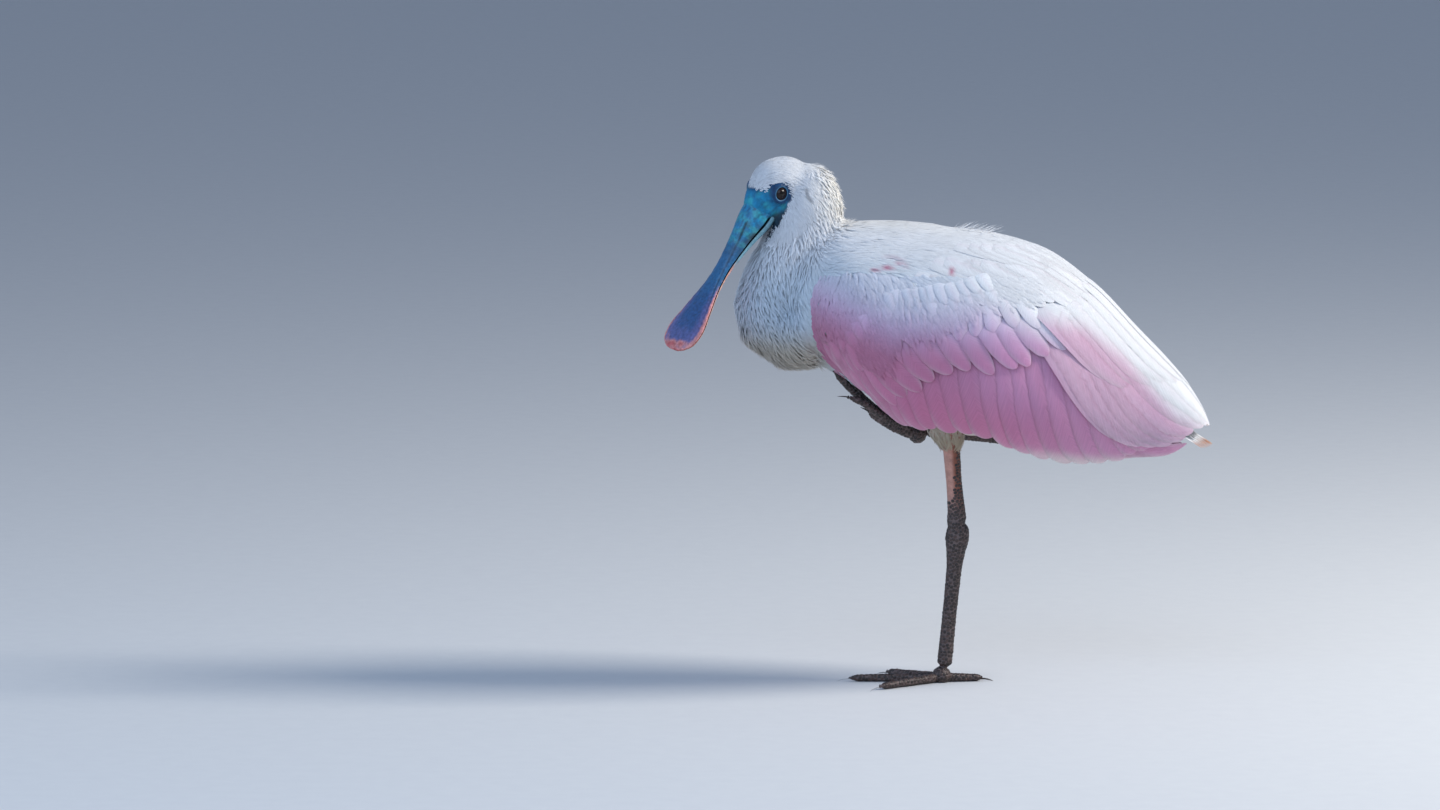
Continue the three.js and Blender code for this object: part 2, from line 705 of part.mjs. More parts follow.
// The folded wings: a smooth inner form with its rows of feathers, clear of the body, the tail and
// each other.
const plumage = sections(FOLDED_WINGS);
const coreRows = FOLDED_WINGS.map(([x, top, bottom, width]) => [
  x,
  top > bottom ? top - PLUMAGE : top,
  top > bottom ? bottom + PLUMAGE : bottom,
  Math.max(width - PLUMAGE, 0),
]);
const belowWings = new THREE.Shape();
belowWings.moveTo(WING_CORE_EDGE[0][0], 0);
WING_CORE_EDGE.forEach(([x, z]) => belowWings.lineTo(x, z));
belowWings.lineTo(WING_CORE_END, WING_CORE_EDGE[WING_CORE_EDGE.length - 1][1]);
belowWings.lineTo(WING_CORE_END, 500);
belowWings.lineTo(400, 500);
belowWings.lineTo(400, 0);
belowWings.closePath();
const coreCut = new THREE.ExtrudeGeometry(belowWings, { depth: 400, bevelEnabled: false })
  .rotateX(Math.PI / 2)
  .translate(0, 200, 0);
const wingCore = less(solid(bodyOf(sections(coreRows), 14, 18)), solid(coreCut));

// A feather on the plumage of one wing, from a root to a tip given as [x, degrees from the top].
function wingFeather(side, root, tip, options) {
  const at = (t) => {
    const { x, y } = root.clone().lerp(tip, t);
    const point = onSection(plumage, x, radians(y));
    const out = outOfSection(plumage, x, radians(y));
    return { point, out };
  };
  const line = (t) => {
    const { point, out } = at(t);
    const ahead = at(t + 0.02).point.sub(at(t - 0.02).point).normalize();
    return { point, ahead, out };
  };
  const geometry = vane(line, options);
  return side < 0 ? geometry : geometry.scale(1, -1, 1);
}

const legsRoom = [
  raisedRoom,
  raisedClawRoom,
  tarsusRightRoom,
  solid(thighLeft, GAP),
  solid(tibiaRight, GAP),
  solid(tibiaLeft, GAP),
];
for (const [name, side] of SIDES) {
  const feathers = Object.values(WING_FEATHERS).flatMap(({ count, width, lift, short, root, tip }) =>
    Array.from({ length: count }, (_, i) => {
      const t = i / (count - 1);
      const from = curvePoint(root, t).add(new THREE.Vector2(random(1.5), random(1)));
      const to = curvePoint(tip, t).add(new THREE.Vector2(random(3), random(1.2)));
      return wingFeather(side, from, to, {
        short,
        width: width + random(0.6),
        lift: lift + random(0.15),
        rootLift: -PLUMAGE - ROOT_DEPTH,
      });
    }),
  );
  const half = new THREE.BoxGeometry(600, 300, 600).translate(0, side * (150 + GAP / 2), 300);
  const wing = wingCore.intersect(solid(half)).add(fuse(feathers).intersect(solid(half)));
  add(`wing_${name}`, less(wing, torsoRoom, tailRoom, ...legsRoom), FEATHER_PINK);
}

export default spoonbill;
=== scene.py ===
import math

import bpy
import numpy as np
from mathutils import Matrix, Vector
from mathutils.bvhtree import BVHTree
from mathutils.kdtree import KDTree


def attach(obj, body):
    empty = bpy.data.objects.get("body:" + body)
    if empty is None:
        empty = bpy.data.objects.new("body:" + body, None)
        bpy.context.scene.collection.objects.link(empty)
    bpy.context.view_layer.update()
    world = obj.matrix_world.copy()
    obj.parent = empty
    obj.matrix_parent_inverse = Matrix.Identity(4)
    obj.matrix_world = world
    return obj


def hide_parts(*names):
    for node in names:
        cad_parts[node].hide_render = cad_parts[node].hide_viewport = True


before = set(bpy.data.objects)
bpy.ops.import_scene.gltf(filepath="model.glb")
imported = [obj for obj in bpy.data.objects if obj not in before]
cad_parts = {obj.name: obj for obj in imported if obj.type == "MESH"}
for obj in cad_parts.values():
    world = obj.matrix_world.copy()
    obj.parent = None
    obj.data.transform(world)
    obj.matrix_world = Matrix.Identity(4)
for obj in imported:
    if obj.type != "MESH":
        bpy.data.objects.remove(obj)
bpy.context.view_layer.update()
bpy.ops.object.select_all(action="DESELECT")
MM = 0.001

# The view is the photograph's: a long lens, level with the bird's left side and a little above it. The
# bird stands on a plain pale floor under soft studio light, warmer and stronger from behind the tail,
# where the evening sun was, and cool on the side towards the lens.
VIEW_DISTANCE = 8.0
VIEW_WIDTH = 1.224
VIEW_CENTRE = Vector((-0.187, 0, 0.238))
VIEW_ELEVATION = math.radians(7)
view_back = Vector((0, -math.cos(VIEW_ELEVATION), math.sin(VIEW_ELEVATION)))
bpy.ops.object.camera_add(
    location=VIEW_CENTRE + view_back * VIEW_DISTANCE,
    rotation=(math.pi / 2 - VIEW_ELEVATION, 0, 0),
)
camera = bpy.context.object
camera.data.sensor_width = 36
camera.data.lens = 36 * VIEW_DISTANCE / VIEW_WIDTH
bpy.context.scene.camera = camera


def soft_light(name, place, size, watts, colour):
    """A square soft box at a place, turned to the bird's body."""
    towards = Vector((0, 0, 0.25)) - Vector(place)
    turn = towards.to_track_quat("-Z", "Y").to_euler()
    bpy.ops.object.light_add(type="AREA", location=place, rotation=turn)
    light = bpy.context.object
    light.name = name
    light.data.size = size
    light.data.energy = watts
    light.data.color = colour


soft_light("evening_box", (2.3, -0.15, 2.0), 0.9, 98, (1.0, 0.95, 0.87))
soft_light("sky_box", (-0.8, -2.6, 2.0), 3.0, 42, (0.55, 0.72, 1.0))
soft_light("front_box", (-2.6, -0.8, 0.9), 1.8, 16, (0.6, 0.78, 1.0))
world = bpy.data.worlds.new("studio")
bpy.context.scene.world = world
world.use_nodes = True
world.node_tree.nodes["Background"].inputs["Color"].default_value = (0.54, 0.67, 0.92, 1)
world.node_tree.nodes["Background"].inputs["Strength"].default_value = 0.44
bpy.context.scene.view_settings.view_transform = "Standard"


# The floor is matt painted board, which isn't part of the bird. Its finish is pale grey, dry and faintly
# speckled by the roller, with specks of about a millimetre.
FLOOR_SIZE = 16
ROLLER_SPECKS_PER_METRE = 900.0


def srgb(code):
    """A colour written as sRGB hex, as linear red, green and blue."""
    parts = [int(code[i : i + 2], 16) / 255 for i in (1, 3, 5)]
    return np.array([c / 12.92 if c < 0.04045 else ((c + 0.055) / 1.055) ** 2.4 for c in parts])


def add_node(tree, kind, inputs=None, **settings):
    """Adds a shader node. Each input is a plain value or another node's output socket."""
    node = tree.nodes.new(kind)
    for name, value in settings.items():
        setattr(node, name, value)
    for key, value in (inputs or {}).items():
        if isinstance(value, bpy.types.NodeSocket):
            tree.links.new(value, node.inputs[key])
        else:
            node.inputs[key].default_value = value
    return node


def finish_of(name, **constants):
    """A new material with its constant sockets set. Returns it with its node tree and shader."""
    material = bpy.data.materials.new(name)
    material.use_nodes = True
    shader = material.node_tree.nodes["Principled BSDF"]
    for socket, value in constants.items():
        shader.inputs[socket.replace("_", " ")].default_value = value
    return material, material.node_tree, shader


bpy.ops.mesh.primitive_plane_add(size=FLOOR_SIZE)
floor = bpy.context.object
floor.name = "floor"
board, tree, shader = finish_of("matt_painted_board", Roughness=0.85)
speckle = add_node(tree, "ShaderNodeTexNoise", {"Scale": ROLLER_SPECKS_PER_METRE})
ramp = add_node(tree, "ShaderNodeValToRGB", {"Fac": speckle.outputs["Fac"]})
ramp.color_ramp.elements[0].color = (*srgb("#c9cbcd"), 1)
ramp.color_ramp.elements[1].color = (*srgb("#cfd1d2"), 1)
tree.links.new(ramp.outputs["Color"], shader.inputs["Base Color"])
floor.data.materials.append(board)


# The guide is the outline of the whole plumage, head to tail, without a seam. Nothing of it shows: the
# skin and the small feathers are placed from it. It stops where only long feathers go on, below the
# line that holds the wings and behind the rump.
# The line that holds the wings: [x, height], in mm.
WINGS_HELD_BY = [(-130, 318), (-80, 284), (-30, 254), (30, 236), (90, 226), (170, 232)]
# Where the guide ends behind, and the size of its mesh, in metres.
FLESH_END = 0.150
GUIDE_GRAIN = 3 * MM
# An egg-shaped filling in the bend of the neck, behind the head.
NAPE_AT = (-0.112, -0.003, 0.420)
NAPE_RADII = (0.024, 0.020, 0.0245)
# The folded wings' plumage is a smooth form over the body: upright sections along x, in millimetres, as
# [x, top, bottom, half width]. Squared sizes are what the curves join, so that it closes in round ends.
FOLDED_WINGS = [
    (-109, 318, 318, 0),
    (-106, 356, 291, 46),
    (-100, 370, 282, 57),
    (-88, 381, 268, 66),
    (-70, 386, 251, 75),
    (-35, 389, 219, 82),
    (0, 390, 202, 85),
    (45, 385, 194, 84),
    (90, 371, 184, 76),
    (130, 342, 180, 60),
    (165, 306, 184, 44),
    (195, 275, 191, 32),
    (217, 247, 204, 20),
    (229, 222, 214, 0),
]
# How square the sections are: 2 would be an ellipse.
SECTION_POWER = 2.1


def eased(stations, values):
    """A smooth curve through values at rising stations, as a function."""
    s, v = np.array(stations, float), np.array(values, float)
    i = np.arange(len(s))
    before, after = np.maximum(i - 1, 0), np.minimum(i + 1, len(s) - 1)
    slope = (v[after] - v[before]) / (s[after] - s[before])

    def curve(x):
        k = np.clip(np.searchsorted(s, x, side="right") - 1, 0, len(s) - 2)
        span = s[k + 1] - s[k]
        t = np.clip((x - s[k]) / span, 0, 1)
        ends = span * t * (1 - t) * (slope[k] * (1 - t) - slope[k + 1] * t)
        return v[k] + (v[k + 1] - v[k]) * (3 - 2 * t) * t * t + ends

    return curve


def squared(v):
    """A sine or cosine, bent so that the section it draws is a little square."""
    return np.sign(v) * np.abs(v) ** (2 / SECTION_POWER)


def sectioned(rows, waist=0.5):
    """The surface over upright sections, as a function of x and the angle down from the top, which is
    90 degrees on the left side. waist is how high up a section its widest level is."""
    rows = sorted(rows)
    x = [r[0] for r in rows]
    middle = eased(x, [r[2] + (r[1] - r[2]) * waist for r in rows])
    height = eased(x, [(r[1] - r[2]) ** 2 for r in rows])
    width = eased(x, [r[3] ** 2 for r in rows])

    def surface(x, angle):
        x, angle = np.broadcast_arrays(np.asarray(x, float), np.asarray(angle, float))
        tall = np.sqrt(np.maximum(height(x), 0))
        rise = squared(np.cos(angle))
        up = middle(x) + np.where(rise > 0, tall * (1 - waist), tall * waist) * rise
        across = -np.sqrt(np.maximum(width(x), 0)) * squared(np.sin(angle))
        return np.stack([x, across, up], -1)

    return surface


def coordinates(mesh):
    """A mesh's vertices as an array."""
    out = np.empty(len(mesh.vertices) * 3, np.float32)
    mesh.vertices.foreach_get("co", out)
    return out.reshape(-1, 3).astype(float)


def normals_of(mesh):
    """A mesh's vertex normals as an array."""
    out = np.empty(len(mesh.vertices) * 3, np.float32)
    mesh.vertex_normals.foreach_get("vector", out)
    return out.reshape(-1, 3).astype(float)


def place_vertices(mesh, points):
    """Moves a mesh's vertices to new places."""
    mesh.vertices.foreach_set("co", np.asarray(points, np.float32).ravel())
    mesh.update()


def turn_outwards(piece, merge=0):
    """Turns a closed mesh's faces outwards, after points nearer than merge, in metres, are made one."""
    bpy.ops.object.select_all(action="DESELECT")
    piece.select_set(True)
    bpy.context.view_layer.objects.active = piece
    bpy.ops.object.mode_set(mode="EDIT")
    bpy.ops.mesh.select_all(action="SELECT")
    if merge:
        bpy.ops.mesh.remove_doubles(threshold=merge)
    bpy.ops.mesh.normals_make_consistent(inside=False)
    bpy.ops.object.mode_set(mode="OBJECT")


def rounded_form(name, surface, first, last, rings, sides):
    """A closed form shaped from a sphere whose rings run along x."""
    bpy.ops.mesh.primitive_uv_sphere_add(segments=sides, ring_count=rings, radius=1)
    form = bpy.context.object
    form.name = name
    ball = coordinates(form.data)
    along = np.arccos(np.clip(-ball[:, 2], -1, 1)) / math.pi
    turn = np.arctan2(ball[:, 1], ball[:, 0])
    x = first + (last - first) * (1 - np.cos(math.pi * along)) / 2
    place_vertices(form.data, surface(x, turn) * MM)
    turn_outwards(form, merge=1e-6)
    return form


def apply_modifier(piece, kind, **settings):
    """Adds a modifier with its settings and applies it."""
    bpy.context.view_layer.objects.active = piece
    modifier = piece.modifiers.new(kind.lower(), kind)
    for key, value in settings.items():
        setattr(modifier, key, value)
    bpy.ops.object.modifier_apply(modifier=modifier.name)


def copy_of(*names):
    """A copy of CAD nodes as one merged mesh object."""
    bpy.ops.object.select_all(action="DESELECT")
    for name in names:
        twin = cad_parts[name].copy()
        twin.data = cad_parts[name].data.copy()
        twin.parent = None
        for key in list(twin.keys()):
            del twin[key]
        bpy.context.scene.collection.objects.link(twin)
        twin.select_set(True)
        bpy.context.view_layer.objects.active = twin
    bpy.ops.object.join()
    twin = bpy.context.object
    twin.data.materials.clear()
    bpy.ops.object.mode_set(mode="EDIT")
    bpy.ops.mesh.select_all(action="SELECT")
    bpy.ops.mesh.remove_doubles(threshold=1e-5)
    bpy.ops.object.mode_set(mode="OBJECT")
    return twin


def joined(name, *pieces):
    """Joins objects into one."""
    bpy.ops.object.select_all(action="DESELECT")
    for piece in pieces:
        piece.select_set(True)
    bpy.context.view_layer.objects.active = pieces[0]
    bpy.ops.object.join()
    whole = bpy.context.object
    whole.name = name
    return whole


def ball_at(place, radii, segments, rings):
    """An egg-shaped ball at a place."""
    bpy.ops.mesh.primitive_uv_sphere_add(segments=segments, ring_count=rings, location=place, scale=radii)
    bpy.ops.object.transform_apply(location=True, rotation=True, scale=True)
    return bpy.context.object


wing_surface = sectioned(FOLDED_WINGS)
wing_form = rounded_form("wing_form", wing_surface, FOLDED_WINGS[0][0], FOLDED_WINGS[-1][0], 40, 48)
shell = coordinates(wing_form.data)
wing_tree = BVHTree.FromPolygons(shell.tolist(), [tuple(p.vertices) for p in wing_form.data.polygons])
lowest = np.interp(shell[:, 0] / MM, *zip(*WINGS_HELD_BY)) * MM
shell[:, 2] = np.maximum(shell[:, 2], lowest)
shell[:, 0] = np.minimum(shell[:, 0], FLESH_END)
place_vertices(wing_form.data, shell)
nape = ball_at(NAPE_AT, NAPE_RADII, 32, 24)
guide = joined("guide", nape, copy_of("torso", "neck", "head"), wing_form)
apply_modifier(guide, "REMESH", mode="VOXEL", voxel_size=GUIDE_GRAIN)
apply_modifier(guide, "SMOOTH", factor=0.5, iterations=8)


def form_of(mesh):
    """What small things need to be laid on a mesh: its places, the ways out, its quads and a tree."""
    places = coordinates(mesh)
    faces = np.array([list(p.vertices) for p in mesh.polygons if len(p.vertices) == 4])
    tree = BVHTree.FromPolygons(places.tolist(), faces.tolist())
    return {"places": places, "outs": normals_of(mesh), "faces": faces, "tree": tree}


guide_form = form_of(guide.data)


# The skin is one closed surface from the bare face to the toes, under all the feathers. It lies inside
# the plumage by the depth of the coat, comes to the surface on the face, and carries the legs' thin
# bare skin under their scales.
LEG_NODES = ["tibia_left", "tarsus_left", "foot_left", "tibia_right", "tarsus_right", "foot_right"]
LEG_NODES += [f"toe_left_{toe}" for toe in ("inner", "middle", "outer", "hind")]
# Flesh that rounds the thighs' lower ends and the heel: [middle, radii].
LEG_KNOTS = [
    ((0.004, -0.030, 0.241), (0.014, 0.011, 0.030)),
    ((0.070, 0.028, 0.238), (0.014, 0.010, 0.018)),
    ((0.0138, -0.0135, 0.142), (0.0078, 0.0070, 0.016)),
]
# How deep the skin lies under the coat's surface, how much less on the head and more under the wing, in mm.
COAT_DEPTH = 0.9
HEAD_THINNER = 0.2
WING_DEEPER = 4.3
# The size of the legs' mesh, in metres.
LEG_GRAIN = 0.9 * MM
LEG_BROWN = srgb("#2e211c")
LEG_GREY = srgb("#80706e")
TIBIA_PINK = srgb("#b9897a")
TIBIA_RED = srgb("#84503f")

# The head's own frame: its middle lies between the eyes, the bill runs along -x, and it is turned a
# little to the bird's left and pressed down on the folded neck.
HEAD_AT = Vector((-0.146, -0.008, 0.422))
HEAD_TURN = (28, -54.5, 8)
yaw, pitch, roll = [math.radians(a) for a in HEAD_TURN]
head_pose = (
    Matrix.Translation(HEAD_AT)
    @ Matrix.Rotation(yaw, 4, "Z")
    @ Matrix.Rotation(pitch, 4, "Y")
    @ Matrix.Rotation(roll, 4, "X")
)
head_turn = np.array(head_pose.to_3x3())
head_at = np.array(HEAD_AT)


def in_head(points):
    """Places in the head's own frame, in millimetres."""
    return (np.asarray(points) - head_at) @ head_turn / MM


def from_head(local):
    """Places of the head's own frame, in millimetres, back on the bird."""
    return local @ head_turn.T * MM + head_at


def beside_head(points):
    """How far from the middle of the head places are, in mm."""
    return np.linalg.norm(points - head_at, axis=1) / MM


# The bare face runs from the bill back to a feather line that passes over the eye, behind it and down
# past the corner of the mouth to the throat: [height, how far back], in the head's frame.
FEATHER_LINE = [
    (-36, -70),
    (-23.5, -50),
    (-20, -36),
    (-17, -25),
    (-12, -11),
    (-8.5, -1),
    (-4, 6.5),
    (1, 9),
    (6, 7.5),
    (10, 1),
    (13, -6.5),
    (19, -9),
]
feather_line = eased(*zip(*FEATHER_LINE))


def bareness(points):
    """How far inside the bare face a place is, in millimetres: above 0 is bare skin."""
    local = in_head(points)
    return feather_line(local[:, 2]) - local[:, 0]


# Skin and coat are white, buff and salmon towards the legs, and rose at the shoulder. The top of the nape
# has a painted cream highlight where the evening light falls, the breast's lower edge a tan that is partly
# the feathers' own buff and partly painted shade, and the shoulder's fold a painted mauve shade.
WHITE = srgb("#eef0f4")
SUNLIT_CREAM = srgb("#f3ead6")
BREAST_TAN_AND_SHADE = srgb("#b9a78c")
SHADED_WHITE = srgb("#cddfec")
MAUVE = srgb("#c67b9b")
ROSE = srgb("#c42f6d")
SALMON = srgb("#dfa3ab")
BUFF = srgb("#d8c2a4")
EAR_DARK = srgb("#4c4a50")
FACE_BLUE = srgb("#117ba6")
FACE_DARK = srgb("#0f3a60")


def fade(value, low, high):
    """0 below low, 1 above high and smooth between, also for a falling range."""
    t = np.clip((value - low) / (high - low), 0, 1)
    return (t * t * (3 - 2 * t))[..., None]


def mix(a, b, t):
    """A colour or number on the way from a to b, by a share t."""
    return a + (b - a) * t


def all_over(colour, points):
    """One colour at every place."""
    return np.broadcast_to(colour, points.shape)


# Rose down shows through on the shoulder, in two groups of spots: [x, height, half length, half height,
# strength].
ROSE_SPOTS = [(-56, 360, 6, 2.6, 0.75), (-46, 362, 8, 3.4, 0.8), (-36, 365, 4, 2.4, 0.6)]
ROSE_SPOTS += [(8, 359, 4, 7, 0.75), (12, 351, 6, 4, 0.6), (28, 350, 18, 7, 0.2)]


def with_rose(colour, points):
    """A colour with the rose spots over it, and a painted mauve shade in the fold that arches over the
    first. Both keep to the wings' outer sides, away from the middle of the back."""
    x, y, z = (points / MM).T
    inside = (np.abs(y) < 40) * 9
    arch = np.abs(np.hypot((x + 45) / 15, (z - 361) / 9.5) - 1) + inside + (z < 361)
    # Painted shade: a darker mauve along the fold's arch over the first spots.
    colour = mix(colour, MAUVE * 0.8, 0.3 * fade(arch, 0.3, 0.0) * fade(x, -56, -40))
    for spot in ROSE_SPOTS:
        gap = np.hypot((x - spot[0]) / spot[2], (z - spot[1]) / spot[3])
        colour = mix(colour, ROSE, spot[4] * fade(gap + inside, 1.0, 0.0))
    return colour


# The streak behind the eye, in the head's frame in mm, on the left side.
EAR_STREAK = [(14.2, -30.0, -12.2), (9.2, -33.3, -14.5), (7.4, -36.2, -18.7)]


def ear_streak(points):
    """How near places are to the dark streak behind the eye: 1 on it, 0 away from it."""
    local = in_head(points) * (1, -1, 1)
    local[:, 1] = -np.abs(local[:, 1])
    far = np.full(len(local), 99.0)
    for start, end in zip(EAR_STREAK, EAR_STREAK[1:]):
        start, way = np.array(start), np.array(end) - start
        step = np.clip((local - start) @ way / (way @ way), 0, 1)[:, None]
        far = np.minimum(far, np.linalg.norm(local - start - way * step, axis=1))
    return fade(far, 2.2, 0.8)


def markings(points):
    """The colour of skin and body feathers at places on the bird."""
    x, y, z = (points / MM).T
    colour = all_over(WHITE, points)
    colour = mix(colour, SHADED_WHITE, 0.8 * fade(z, 385, 330) * fade(x, 40, -60))
    # A painted highlight: warm cream where the evening light falls on top of the nape.
    colour = mix(colour, SUNLIT_CREAM, 0.5 * fade(x, -120, -84) * fade(z, 380, 410))
    colour = mix(colour, EAR_DARK, 0.5 * ear_streak(points))
    # Partly the feathers' own buff, partly painted shade along the breast's lower edge.
    colour = mix(colour, BREAST_TAN_AND_SHADE, 0.8 * fade(z, 318, 282) * fade(x, -70, -112))
    colour = mix(colour, BUFF, 0.75 * fade(z, 232, 205) * fade(np.abs(x - 8), 60, 25))
    colour = mix(colour, SALMON, 0.35 * fade(np.abs(x - 60), 90, 30) * fade(z, 250, 225))
    return with_rose(colour, points)


def wing_angle(points):
    """How far round the wing's form a place is, in degrees from the top."""
    x, y, z = (points / MM).T
    top, side = wing_surface(x, np.zeros(len(x))), wing_surface(x, np.full(len(x), np.pi / 2))
    up = (z - side[:, 2]) / np.maximum(top[:, 2] - side[:, 2], 1)
    out = np.abs(y) / np.maximum(-side[:, 1], 1)
    half = SECTION_POWER / 2
    return np.degrees(np.arctan2(out**half, np.sign(up) * np.abs(up) ** half))


def coat_depth(points):
    """How deep the skin lies under the plumage's outer surface, in metres."""
    head = fade(beside_head(points), 50, 26)[:, 0]
    x = points[:, 0] / MM
    low = np.interp(x, [-20, 50], [75, 46])
    wing = (fade(wing_angle(points) - low, 0, 25) * fade(x, -95, -60))[:, 0]
    bare = (fade(bareness(points), -1.8, 0.6) * fade(beside_head(points), 62, 50))[:, 0]
    return (COAT_DEPTH - HEAD_THINNER * head + WING_DEEPER * wing) * (1 - bare) * MM


def behind_shin(x, z):
    """How far behind the standing leg's middle line places are, in mm."""
    return x - (11.5 + (175 - z) * 0.07)


def legs_colour(points):
    """Bare leg skin: grey-brown between the scales, but the standing leg's upper part is pink-tan in
    front and red-brown behind."""
    x, y, z = (points / MM).T
    standing = fade(z, 142, 172) * fade(y, -2, -8) * fade(np.abs(x - 10), 32, 24)
    front = fade(behind_shin(x, z), 2.0, -2.0)
    upper = mix(all_over(TIBIA_RED, points), TIBIA_PINK, front)
    return mix(mix(all_over(LEG_BROWN, points), LEG_GREY, 0.55), upper, standing)


flesh = guide.copy()
flesh.data = guide.data.copy()
bpy.context.scene.collection.objects.link(flesh)
depth = coat_depth(guide_form["places"])[:, None]
place_vertices(flesh.data, guide_form["places"] - guide_form["outs"] * depth)
knots = [ball_at(place, radii, 24, 16) for place, radii in LEG_KNOTS]
legs = joined("legs", *knots, copy_of("thigh_left", *LEG_NODES))
apply_modifier(legs, "REMESH", mode="VOXEL", voxel_size=LEG_GRAIN)
apply_modifier(legs, "SMOOTH", factor=0.5, iterations=2)
leg_form = form_of(legs.data)
apply_modifier(flesh, "BOOLEAN", operation="UNION", solver="MANIFOLD", object=legs)
bpy.data.objects.remove(legs)
flesh.name = "skin"


def on_legs(points, reach):
    """Which places lie on the legs, within reach in metres."""
    return np.array([leg_form["tree"].find_nearest(p, reach)[0] is not None for p in points.tolist()])


def paint(piece, colours):
    """Gives a piece a colour for each vertex, which its material reads as tint."""
    tint = piece.data.color_attributes.new("tint", "FLOAT_COLOR", "POINT")
    tint.data.foreach_set("color", np.c_[colours, np.ones(len(colours))].astype(np.float32).ravel())


def smooth(mesh):
    """Shades a mesh as rounded."""
    mesh.polygons.foreach_set("use_smooth", np.ones(len(mesh.polygons), bool))


FACE_GREEN = srgb("#2d9aa6")
GAPE_DARK = srgb("#23303a")


def bumpy(points, size, seed):
    """Smooth unevenness of about a size in mm over places in mm, from -1 to 1, as crossed waves."""
    wave = np.random.default_rng(seed)
    ways = wave.normal(0, 1, (7, 3))
    ways /= np.linalg.norm(ways, axis=1, keepdims=True)
    turns = points @ ways.T * (2 * np.pi / size) * wave.uniform(0.6, 1.5, 7) + wave.uniform(0, 6, 7)
    return np.sin(turns).sum(1) / 3.2


def face_colour(local):
    """The bare face, by places in the head's frame in mm: turquoise over the bill's root with darker
    blotches, dark blue round the eye, dusky by the gape."""
    x, z = local[:, 0], local[:, 2]
    green = 0.85 * fade(bumpy(local, 13, 3), -0.3, 0.9)
    colour = mix(all_over(FACE_BLUE, local), FACE_GREEN, green)
    colour = mix(colour, FACE_DARK, 0.5 * fade(bumpy(local, 7, 4), 0.25, 0.9))
    colour = mix(colour, FACE_DARK, fade(np.hypot(x - 1, z - 1), 12.5, 8.5))
    edge = feather_line(z) - x
    colour = mix(colour, FACE_DARK, 0.85 * fade(edge, 3.2, 0.0))
    return mix(colour, GAPE_DARK, 0.9 * fade(z + 0.3 * x, -10, -16))


skin_places = coordinates(flesh.data)
# The skin is the coat's colour made a little darker: painted shade under the feathers, where it shows
# between them.
skin_colours = markings(skin_places) * 0.93
bare = fade(bareness(skin_places), -3.0, -1.4) * fade(beside_head(skin_places), 62, 50)
skin_colours = mix(skin_colours, face_colour(in_head(skin_places)), bare)
below = skin_places[:, 2] < 0.3
on_leg = np.zeros(len(skin_places), bool)
on_leg[below] = on_legs(skin_places[below], 0.5 * MM)
skin_colours[on_leg] = legs_colour(skin_places[on_leg])
paint(flesh, skin_colours)
smooth(flesh.data)

# Bird skin is thin and dry: a low gloss, pebbles of about 1.1 mm, which are drawn about twice as coarse
# as the real ones to show, and blotches of about 4 mm.
SKIN_PEBBLES = 900.0
SKIN_BLOTCHES = 260.0


def flecked(tree, shader, flecks, low, high, dark, light):
    """Colours a finish by its piece's tint, which flecks make darker and lighter: where their value goes
    from low to high, the tint is multiplied by dark to light."""
    tint = add_node(tree, "ShaderNodeAttribute", attribute_name="tint")
    ends = {"Value": flecks.outputs["Fac"], 1: low, 2: high, 3: dark, 4: light}
    tone = add_node(tree, "ShaderNodeMapRange", ends)
    both = {0: tint.outputs["Color"], "Scale": tone.outputs[0]}
    shaded = add_node(tree, "ShaderNodeVectorMath", both, operation="SCALE")
    tree.links.new(shaded.outputs[0], shader.inputs["Base Color"])


bird_skin, tree, shader = finish_of("bare_bird_skin", Roughness=0.48)
shader.inputs["Specular IOR Level"].default_value = 0.28
place = add_node(tree, "ShaderNodeTexCoord").outputs["Object"]
pebbles = add_node(tree, "ShaderNodeTexVoronoi", {"Vector": place, "Scale": SKIN_PEBBLES})
blotch = add_node(tree, "ShaderNodeTexNoise", {"Vector": place, "Scale": SKIN_BLOTCHES, "Detail": 4.0})
flecked(tree, shader, blotch, 0.3, 0.7, 0.72, 1.18)
relief = {"Height": pebbles.outputs["Distance"], "Strength": 0.5, "Distance": 0.0003}
bump = add_node(tree, "ShaderNodeBump", relief)
tree.links.new(bump.outputs[0], shader.inputs["Normal"])
flesh.data.materials.clear()
flesh.data.materials.append(bird_skin)
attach(flesh, "root")
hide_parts("head", "neck", "torso", "thigh_left", *LEG_NODES)


# Every feather is a thin closed vane of keratin, grown from the skin at its root: rings of points across
# it, from a point at its root to one at its tip, over the top from the left edge to the right and back
# underneath. Each vane has a small patch of its own on its piece's unwrap.
BAKE_PATCH = 0.003
draw = np.random.default_rng(7)


def faces_of_vane(rings, loop):
    """The quads and triangles of a vane whose first and last rings are single points."""
    ring, side = np.meshgrid(np.arange(rings - 3), np.arange(loop), indexing="ij")
    here, beside = 1 + ring * loop + side, 1 + ring * loop + (side + 1) % loop
    quads = np.stack([here, beside, beside + loop, here + loop], -1).reshape(-1, 4)
    turn = np.arange(loop)
    last = 1 + (rings - 3) * loop
    root_fan = np.stack([np.zeros(loop, int), 1 + (turn + 1) % loop, 1 + turn], -1)
    tip_fan = np.stack([np.full(loop, last + loop), last + turn, last + (turn + 1) % loop], -1)
    return quads, np.concatenate([root_fan, tip_fan])


